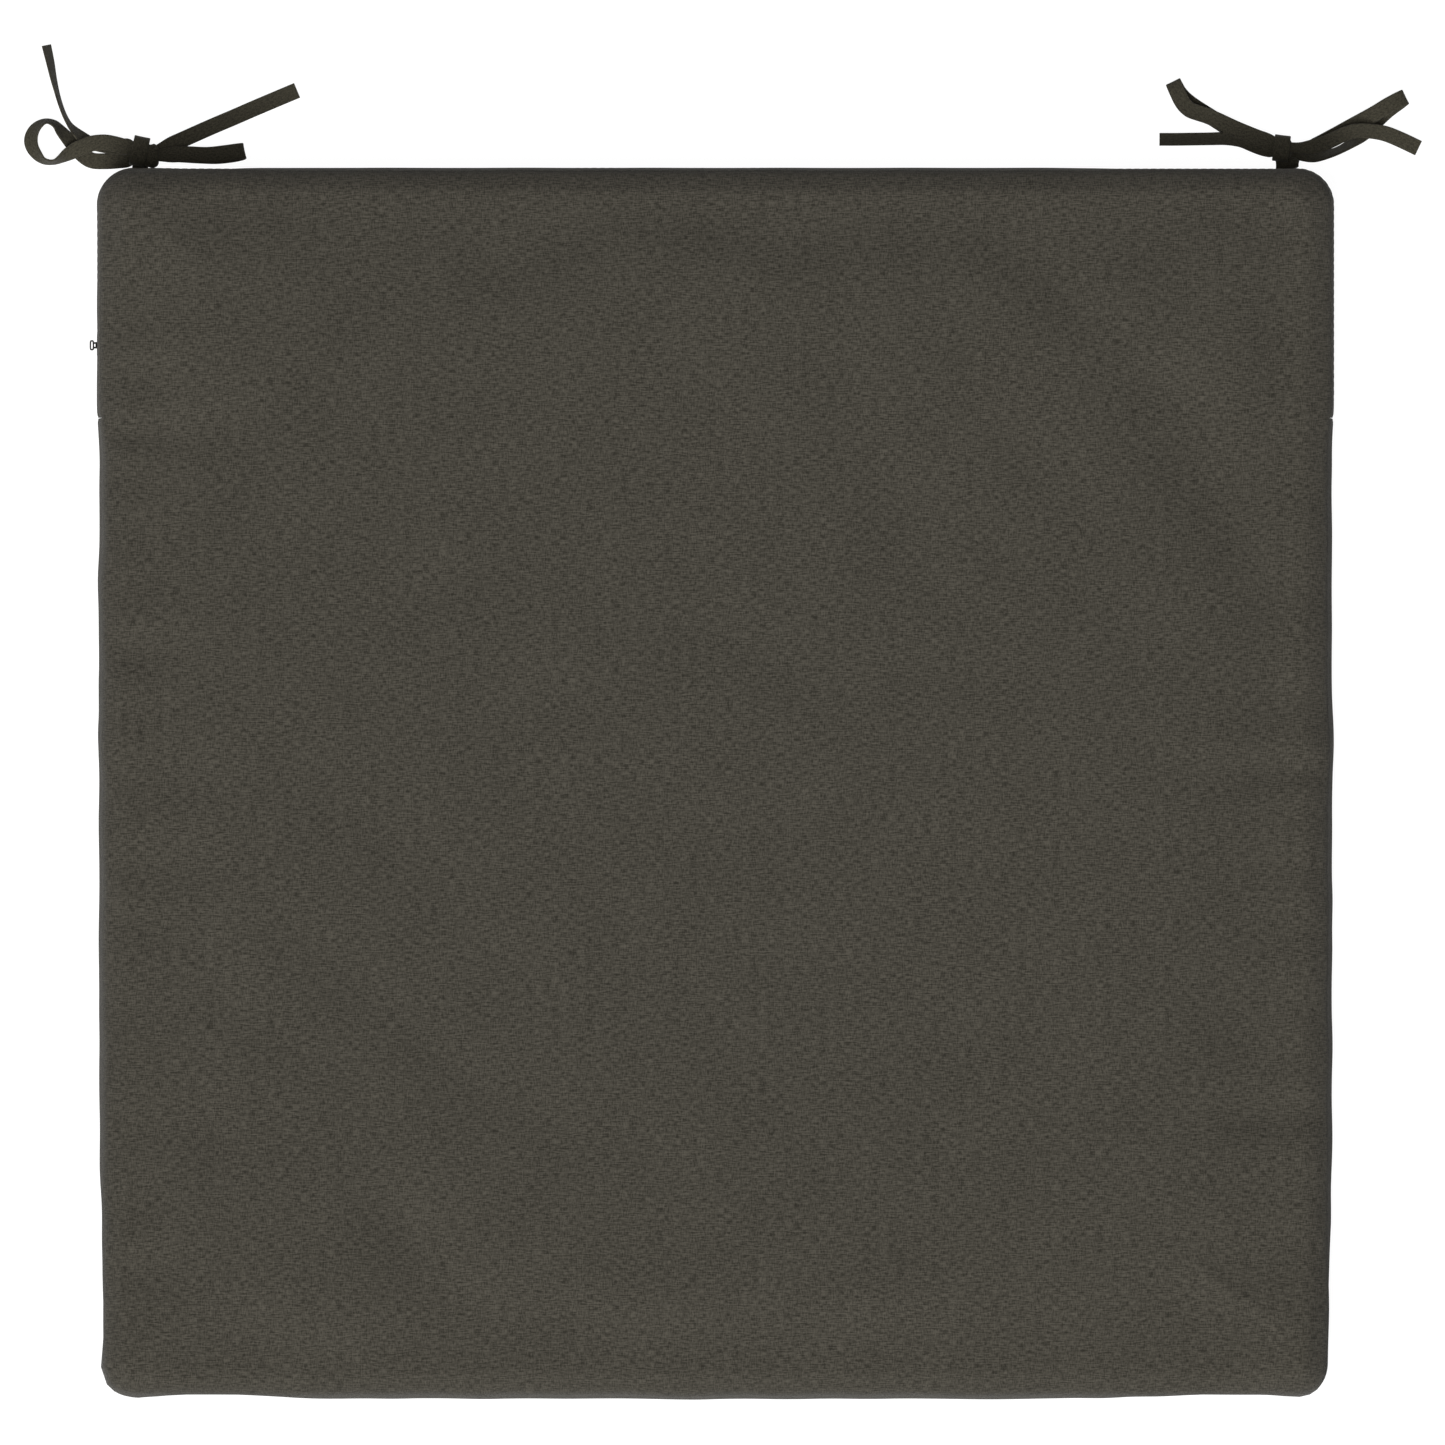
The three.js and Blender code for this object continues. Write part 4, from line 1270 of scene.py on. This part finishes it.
# Hidden stops inside the knots, between the pieces of each strand
LEFT_THROUGH = {
    "in_a": [
        (-0.0012, -0.0012, 0.0045, 0, 0),
        (-0.0012, 0.0016, 0.0046, 0, 0),
        (-0.0008, 0.0058, 0.0052, 35, 0),
    ],
    "a_to_b": [(-0.0004, 0.0052, 0.0022, -80, 0), (0.0038, 0.0064, 0.003, -72, 0)],
    "in_b": [
        (0.0012, -0.0012, 0.0035, 0, 0),
        (0.0012, 0.0016, 0.0035, 0, 0),
        (0.0026, 0.0046, 0.004, 40, 0),
    ],
    "b_to_a": [(0.003, 0.0068, 0.0024, 90, 0), (-0.0008, 0.0084, 0.0032, 90, -6)],
}
RIGHT_THROUGH = {
    "in_a": [
        (-0.0012, -0.0012, 0.0045, 0, 0),
        (-0.0012, 0.003, 0.0048, 0, 0),
        (-0.0026, 0.008, 0.0058, 40, 0),
    ],
    "a_to_b": [(-0.002, 0.0098, 0.004, 85, 0), (0.0012, 0.009, 0.006, 90, 0)],
    "in_b": [
        (0.0012, -0.0012, 0.0035, 0, 0),
        (0.0012, 0.003, 0.0037, 0, 0),
        (0.0018, 0.0072, 0.0042, -50, 0),
    ],
    "b_to_a": [(0.001, 0.0068, 0.0022, -88, 0), (-0.0026, 0.0074, 0.004, -94, -4)],
}


def width_way(heading, tilt):
    turn, rise = math.radians(heading), math.radians(tilt)
    return [math.cos(rise) * math.cos(turn), math.cos(rise) * math.sin(turn), math.sin(rise)]


def strand_stops(*parts):
    """One list of stops, each with its width's direction, which never flips over between stops."""
    stops = []
    for x, y, z, heading, tilt in [stop for part in parts for stop in part]:
        way = np.array(width_way(heading, tilt))
        if stops and np.dot(way, stops[-1][3:]) < 0:
            way = -way
        stops.append(np.array([x, y, z, *way]))
    return np.array(stops)


GATHERED_RIGHT = 0.62  # share of its width that a ribbon keeps in the knot, on each side of it
GATHERED_LEFT = 0.66


def gathered(x):
    """Share of its width that a ribbon keeps at a place along X, because the knot gathers it."""
    right = GATHERED_RIGHT + (1 - GATHERED_RIGHT) * smoothstep(4 * MM, 14 * MM, x)
    left = GATHERED_LEFT + (1 - GATHERED_LEFT) * smoothstep(2 * MM, 6 * MM, -x)
    return np.where(x > 0, right, left)


def ribbon_mesh(name, origin, stops, width=TIE_WIDTH, thickness=TIE_THICKNESS, closed=False):
    """A woven ribbon laid along the stops, and the places of its middle line."""
    if closed:
        ring = np.vstack([stops[-1:], stops, stops[:2]])
        extra = RIBBON_POINTS_PER_STOP
        line = catmull_rom(ring, RIBBON_POINTS_PER_STOP)[extra:-extra - 1]
    else:
        line = catmull_rom(stops, RIBBON_POINTS_PER_STOP)
    middle = line[:, :3] + np.array(origin)
    if closed:
        ahead = unit(np.roll(middle, -1, 0) - np.roll(middle, 1, 0))
    else:
        ahead = unit(np.gradient(middle, axis=0))
    across = line[:, 3:]
    across = unit(across - ahead * (across * ahead).sum(-1, keepdims=True))
    up = np.cross(ahead, across)
    travelled = np.concatenate([[0], np.cumsum(np.linalg.norm(np.diff(middle, axis=0), axis=1))])
    widths = np.full(len(middle), width) if closed else width * gathered(line[:, 0])
    share = np.array([-1, -0.97, -0.86, -0.5, 0, 0.5, 0.86, 0.97, 1])
    swell = np.array([0.35, 0.8, 1, 0.9, 0.86, 0.9, 1, 0.8, 0.35])
    section = [(s, w) for s, w in zip(share, swell)] + [(s, -w) for s, w in zip(share[::-1], swell)]
    shape = Shape()
    rows = []
    for s, w in section:
        place = middle + across * (s * widths / 2)[:, None] + up * (w * thickness / 2)
        rows.append(shape.points(place, np.stack([travelled, np.full(len(middle), s * width / 2)], -1)))
    rows = np.array(rows)
    if closed:
        rows = np.concatenate([rows, rows[:, :1]], axis=1)
    shape.grid(rows, around=True)
    obj = shape.build(name)
    if not closed:
        work = bmesh.new()
        work.from_mesh(obj.data)
        bmesh.ops.holes_fill(work, edges=[e for e in work.edges if e.is_boundary])
        work.to_mesh(obj.data)
        work.free()
    set_outward(obj)
    obj.data.set_sharp_from_angle(angle=math.radians(50))
    return obj, middle


def knot_lump(name, origin, low, high, wrap_x):
    """A part of the loops' crossing: a soft lump with the folds that the wrap pulls into it."""
    low, high = np.array(low), np.array(high)
    centre, half = (low + high) / 2, (high - low) / 2
    rows, columns = 29, 48
    tilt = np.linspace(-math.pi / 2, math.pi / 2, rows)[:, None]
    turn = np.linspace(0, 2 * math.pi, columns, endpoint=False)[None, :]

    def power(value, exponent):
        return np.sign(value) * np.abs(value) ** exponent

    x = power(np.cos(tilt), 0.6) * power(np.cos(turn), 0.65)
    y = power(np.cos(tilt), 0.6) * power(np.sin(turn), 0.65)
    z = power(np.sin(tilt), 0.6) * np.ones_like(turn)
    folds = 0.14 * np.cos(6 * y + 4 * x) * (1 - z**2 * 0.3) + 0.08 * np.cos(10 * y - 6 * x + 1)
    waist = 1 - 0.10 * np.exp(-(((x * half[0] + centre[0] - wrap_x) / (2.4 * MM)) ** 2))
    width = y * waist * (1 - np.abs(folds) * 0.6)
    local = np.stack([x * (1 + folds * 0.4), width, z * (waist - np.maximum(folds, 0))], -1)
    place = np.array(origin) + centre + local * half
    shape = Shape()
    numbers = shape.points(place, np.stack([place[..., 1], place[..., 2] + place[..., 0]], -1))
    shape.grid(numbers.T, around=True)
    obj = shape.build(name)
    work = bmesh.new()
    work.from_mesh(obj.data)
    bmesh.ops.remove_doubles(work, verts=work.verts, dist=0.02 * MM)
    bmesh.ops.recalc_face_normals(work, faces=work.faces)
    work.to_mesh(obj.data)
    work.free()
    return obj


def wrap_stops(low, high, x, slant):
    """The ribbon that goes once round the knot, leaning by slant in plan."""
    centre_y, centre_z = (low[1] + high[1]) / 2, (low[2] + high[2]) / 2
    half_y, half_z = (high[1] - low[1]) / 2, (high[2] - low[2]) / 2
    inset = TIE_THICKNESS / 2
    stops = []
    for k in range(16):
        turn = 2 * math.pi * k / 16
        c, s = math.cos(turn), math.sin(turn)
        squared = (abs(c) ** 3 + abs(s) ** 3) ** (-1 / 3)
        y = centre_y + (half_y - inset) * c * squared
        z = centre_z + (half_z - inset) * s * squared
        lean = math.tan(math.radians(slant)) * (y - centre_y)
        stops.append([x + lean, y, z, *width_way(-slant, 0)])
    return np.array(stops)


def add_tie(side, stub_x, routes, through, lumps, wrap):
    """One bow. lumps are the knot's soft parts as pairs of corners, and wrap the band round it."""
    origin = (stub_x, HALF_DEPTH, 0)
    first = strand_stops(through["in_a"], routes["loop_a"], through["a_to_b"], routes["tail_b"])
    second = strand_stops(through["in_b"], routes["loop_b"], through["b_to_a"], routes["tail_a"])
    knot = []
    for number, (low, high) in enumerate(lumps, 1):
        knot.append(knot_lump(f"{side}_bow_knot_{number}", origin, low, high, wrap[2]))
    knot.append(ribbon_mesh(f"{side}_bow_wrap", origin, wrap_stops(*wrap), closed=True)[0])
    for piece in knot:
        dress(piece, RIBBON, nodes=[f"{side}_tie_knot"])
    for name, stops, nodes in (
        ("first", first, ["stub", "loop_a", "tail_b"]),
        ("second", second, ["stub", "loop_b", "tail_a"]),
    ):
        strand, middle = ribbon_mesh(f"{side}_tie_{name}", origin, stops)
        dress(strand, RIBBON, nodes=[f"{side}_tie_{node}" for node in nodes])


add_tie(
    "left", -HALF_WIDTH + 15.6 * MM, LEFT_ROUTES, LEFT_THROUGH,
    lumps=[
        ((-0.0036, 0.0018, 0.0), (0.0034, 0.0128, 0.0074)),
        ((0.0012, 0.0002, 0.0006), (0.0076, 0.0104, 0.0078)),
    ],
    wrap=((0, 0.0012, 0), (0, 0.0132, 0.0086), -0.0004, 12),
)
add_tie(
    "right", HALF_WIDTH - 18.4 * MM, RIGHT_ROUTES, RIGHT_THROUGH,
    lumps=[
        ((-0.0044, 0.0034, 0.0), (0.0032, 0.0134, 0.0076)),
        ((-0.001, 0.0, 0.001), (0.0062, 0.0048, 0.0052)),
    ],
    wrap=((0, 0.003, 0), (0, 0.0138, 0.0088), -0.001, 7),
)

panels = add_cover()
zip_strips = add_zip()
casing = add_layer("casing", CASING, NONWOVEN)
wadding = add_layer("wadding", WADDING_LAYER, WADDING)
foam = add_foam()


# ---------------------------------------------------------------------------------------------
# Slider: two plates joined by a wedge, flanges over the coil, and a bare crown without a pull.
# Places are (along the zip, up, outwards from the outer plate's inner face).
# ---------------------------------------------------------------------------------------------
SLIDER_LENGTH = 9 * MM
SLIDER_WIDTH = 8.4 * MM
SLIDER_NARROW = 7.4 * MM
PLATE = 0.9 * MM
PLATE_BEVEL = 0.22 * MM
FLANGE_DROP = 1.5 * MM
FLANGE_FROM_MIDDLE = 3.4 * MM
INNER_PLATE_DROP = 2.6 * MM
WEDGE_LENGTH = 2.6 * MM
WEDGE_THICKNESS = 0.4 * MM
NECK_LENGTH = 2.65 * MM
NECK_HEIGHT = 1.15 * MM
RING_LENGTH = 4.2 * MM
RING_HEIGHT = 1.85 * MM
RING_WIDTH = 1.6 * MM
RING_BAR = 0.62 * MM
FINE_BEVEL = 0.08 * MM
NECK_BEVEL = 0.15 * MM
NECK_THICKNESS = 0.75 * MM
WEDGE_FROM_MOUTH = 0.8 * MM


def plate_outline():
    """Half of the slider's outline from the mouth to the closed end, round-shouldered and waisted."""
    end = SLIDER_LENGTH / 2
    wide, narrow = SLIDER_WIDTH / 2, SLIDER_NARROW / 2
    share = [(-1, 0.62), (-0.97, 0.8), (-0.88, 0.94), (-0.7, 1), (-0.35, 0.985), (0, 0.95)]
    side = [(along * end, wide * reach) for along, reach in share]
    share = [(0.35, 0.985), (0.7, 1), (0.88, 0.95), (0.97, 0.84), (1, 0.68)]
    return side + [(along * end, narrow * reach) for along, reach in share]


def stitch(work, rings):
    """Close a stack of rings with a cap at each end and faces between."""
    work.faces.new(rings[0][::-1])
    work.faces.new(rings[-1])
    for lower, upper in zip(rings, rings[1:]):
        for k in range(len(lower)):
            n = (k + 1) % len(lower)
            work.faces.new([lower[k], lower[n], upper[n], upper[k]])


def prism(work, points, low, high):
    """A plate between two heights with chamfered edges."""
    def ring(level, scale):
        return [work.verts.new((a * scale, b * scale, level)) for a, b in points]

    bevel = min(PLATE_BEVEL, (high - low) / 3)
    tight = 1 - bevel / max(abs(b) for _, b in points)
    levels = [(low, tight), (low + bevel, 1), (high - bevel, 1)]
    levels += [(high - bevel * 0.3, (1 + 2 * tight) / 3), (high, tight)]
    stitch(work, [ring(*level) for level in levels])


def bar(work, low, high, bevel):
    """A bevelled bar between two corners."""
    (x0, y0, z0), (x1, y1, z1) = low, high
    b = bevel
    corners = [(x0 + b, y0), (x1 - b, y0), (x1, y0 + b), (x1, y1 - b)]
    corners += [(x1 - b, y1), (x0 + b, y1), (x0, y1 - b), (x0, y0 + b)]
    middle = Vector(((x0 + x1) / 2, (y0 + y1) / 2, 0))

    def ring(level, drawn):
        out = []
        for x, y in corners:
            off = Vector((x, y, 0)) - middle
            scale_x = (abs(off.x) - drawn) / max(abs(off.x), 1e-9)
            scale_y = (abs(off.y) - drawn) / max(abs(off.y), 1e-9)
            out.append(work.verts.new((middle.x + off.x * scale_x, middle.y + off.y * scale_y, level)))
        return out

    stitch(work, [ring(z0, b), ring(z0 + b, 0), ring(z1 - b, 0), ring(z1, b)])


# The ring's flat section: (share of the bar's width, share of half its depth)
RING_SECTION = [(1, 0.7), (0.86, 1), (0.14, 1), (0, 0.8), (0, -0.8), (0.14, -1), (0.86, -1), (1, -0.7)]
RING_TURNS = 28


def ring_loop(work):
    """The crown's ring: a flat bar bent round an open eye and standing across the slider's axis."""
    foot = PLATE + NECK_HEIGHT
    half_length, half_height = RING_LENGTH / 2, RING_HEIGHT / 2
    rows = []
    for k in range(RING_TURNS):
        turn = 2 * math.pi * k / RING_TURNS
        c, s = math.cos(turn), math.sin(turn)
        squared = (abs(c) ** 4 + abs(s) ** 4) ** (-1 / 4)
        row = []
        for reach, lift in RING_SECTION:
            a = (half_length - RING_BAR * (1 - reach)) * c * squared
            b = (half_height - RING_BAR * (1 - reach)) * s * squared
            row.append(work.verts.new((a, RING_WIDTH / 2 * lift, foot + half_height + b)))
        rows.append(row)
    for k in range(RING_TURNS):
        here, there = rows[k], rows[(k + 1) % RING_TURNS]
        for j in range(len(RING_SECTION)):
            m = (j + 1) % len(RING_SECTION)
            work.faces.new([here[j], there[j], there[m], here[m]])


def add_slider():
    work = bmesh.new()
    half = plate_outline()
    full = half + [(a, -b) for a, b in reversed(half)]
    prism(work, full, 0, PLATE)
    prism(work, full, -INNER_PLATE_DROP - PLATE, -INNER_PLATE_DROP)
    for side in (1, -1):
        edge = SLIDER_NARROW / 2 - 0.02 * MM
        near, far = sorted((side * FLANGE_FROM_MIDDLE, side * edge))
        end = SLIDER_LENGTH / 2 * 0.9
        bar(work, (-end, near, -FLANGE_DROP), (end, far, PLATE_BEVEL), FINE_BEVEL)
    wedge_foot = -SLIDER_LENGTH / 2 + WEDGE_FROM_MOUTH
    thick = WEDGE_THICKNESS / 2
    bar(
        work,
        (wedge_foot, -thick, -INNER_PLATE_DROP - PLATE / 2),
        (wedge_foot + WEDGE_LENGTH, thick, PLATE / 2),
        FINE_BEVEL,
    )
    half_neck, neck_top = RING_WIDTH * 0.45, PLATE + NECK_HEIGHT + RING_BAR
    for end in (-1, 1):
        foot, tip = sorted((end * NECK_LENGTH / 2, end * (NECK_LENGTH / 2 - NECK_THICKNESS)))
        bar(work, (foot, -half_neck, PLATE * 0.6), (tip, half_neck, neck_top), NECK_BEVEL)
    bar(
        work,
        (-NECK_LENGTH / 2 + 0.1 * MM, -RING_WIDTH * 0.32, PLATE * 0.6),
        (NECK_LENGTH / 2 - 0.1 * MM, RING_WIDTH * 0.32, PLATE + NECK_HEIGHT * 0.55),
        0.1 * MM,
    )
    ring_loop(work)
    bmesh.ops.recalc_face_normals(work, faces=work.faces)
    low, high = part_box("zip_slider")
    middle = (low + high) / 2
    face = low.x + PLATE + NECK_HEIGHT + RING_HEIGHT
    place = Matrix(((0, 0, -1, face), (1, 0, 0, middle.y), (0, 1, 0, middle.z), (0, 0, 0, 1)))
    work.transform(place)
    bmesh.ops.recalc_face_normals(work, faces=work.faces)
    mesh = bpy.data.meshes.new("slider")
    work.to_mesh(mesh)
    work.free()
    mesh.polygons.foreach_set("use_smooth", [True] * len(mesh.polygons))
    mesh.set_sharp_from_angle(angle=math.radians(35))
    slider = bpy.data.objects.new("slider", mesh)
    bpy.context.scene.collection.objects.link(slider)
    return dress(slider, METAL, body="slider", nodes=["zip_slider"])


add_slider()


# ---------------------------------------------------------------------------------------------
# Floor and light
# ---------------------------------------------------------------------------------------------
FLOOR_GLOW = 0.95  # keeps the floor white where the pad shades it
FLOOR_HALF = 40.0
FLOOR_DROP = 0.2 * MM
FLOOR_TONES = (0.11, 0.13)


def add_floor():
    corners = [(x * FLOOR_HALF, y * FLOOR_HALF, 0) for x, y in CORNER_SIGNS]
    floor = add_object("floor", corners, [(0, 1, 2, 3)])
    floor.location.z = -FLOOR_DROP
    nodes = Nodes("pale_floor")
    place = object_coordinates(nodes)
    haze = nodes.noise(place, 1.2, 2.0)
    low, high = [(tone,) * 3 for tone in FLOOR_TONES]
    nodes.feed(nodes.shader, "Base Color", nodes.ramp(haze, (0.3, low), (0.7, high)))
    nodes.shader.inputs["Roughness"].default_value = 0.9
    nodes.shader.inputs["Specular IOR Level"].default_value = 0.1
    nodes.shader.inputs["Emission Color"].default_value = (1, 1, 1, 1)
    nodes.shader.inputs["Emission Strength"].default_value = FLOOR_GLOW
    floor.data.materials.append(nodes.material)


def add_light(name, place, size, power, target=(0, 0, 0)):
    data = bpy.data.lights.new(name, "AREA")
    data.shape = "DISK"
    data.size = size
    data.energy = power
    light = bpy.data.objects.new(name, data)
    light.location = place
    way = Vector(target) - Vector(place)
    light.rotation_mode = "QUATERNION"
    light.rotation_quaternion = way.to_track_quat("-Z", "Y")
    bpy.context.scene.collection.objects.link(light)


def add_light_and_air():
    world = bpy.data.worlds.new("studio")
    world.use_nodes = True
    background = world.node_tree.nodes["Background"]
    background.inputs["Color"].default_value = (1, 1, 1, 1)
    background.inputs["Strength"].default_value = 0.13
    bpy.context.scene.world = world
    add_light("key", place=(-2.9, -6.2, 9.9), size=6.0, power=2010)
    add_light("overhead", place=(-0.8, -1.2, 10.0), size=5.0, power=760)
    bpy.context.scene.view_settings.view_transform = "Standard"
    bpy.context.scene.view_settings.look = "None"


add_floor()
add_light_and_air()
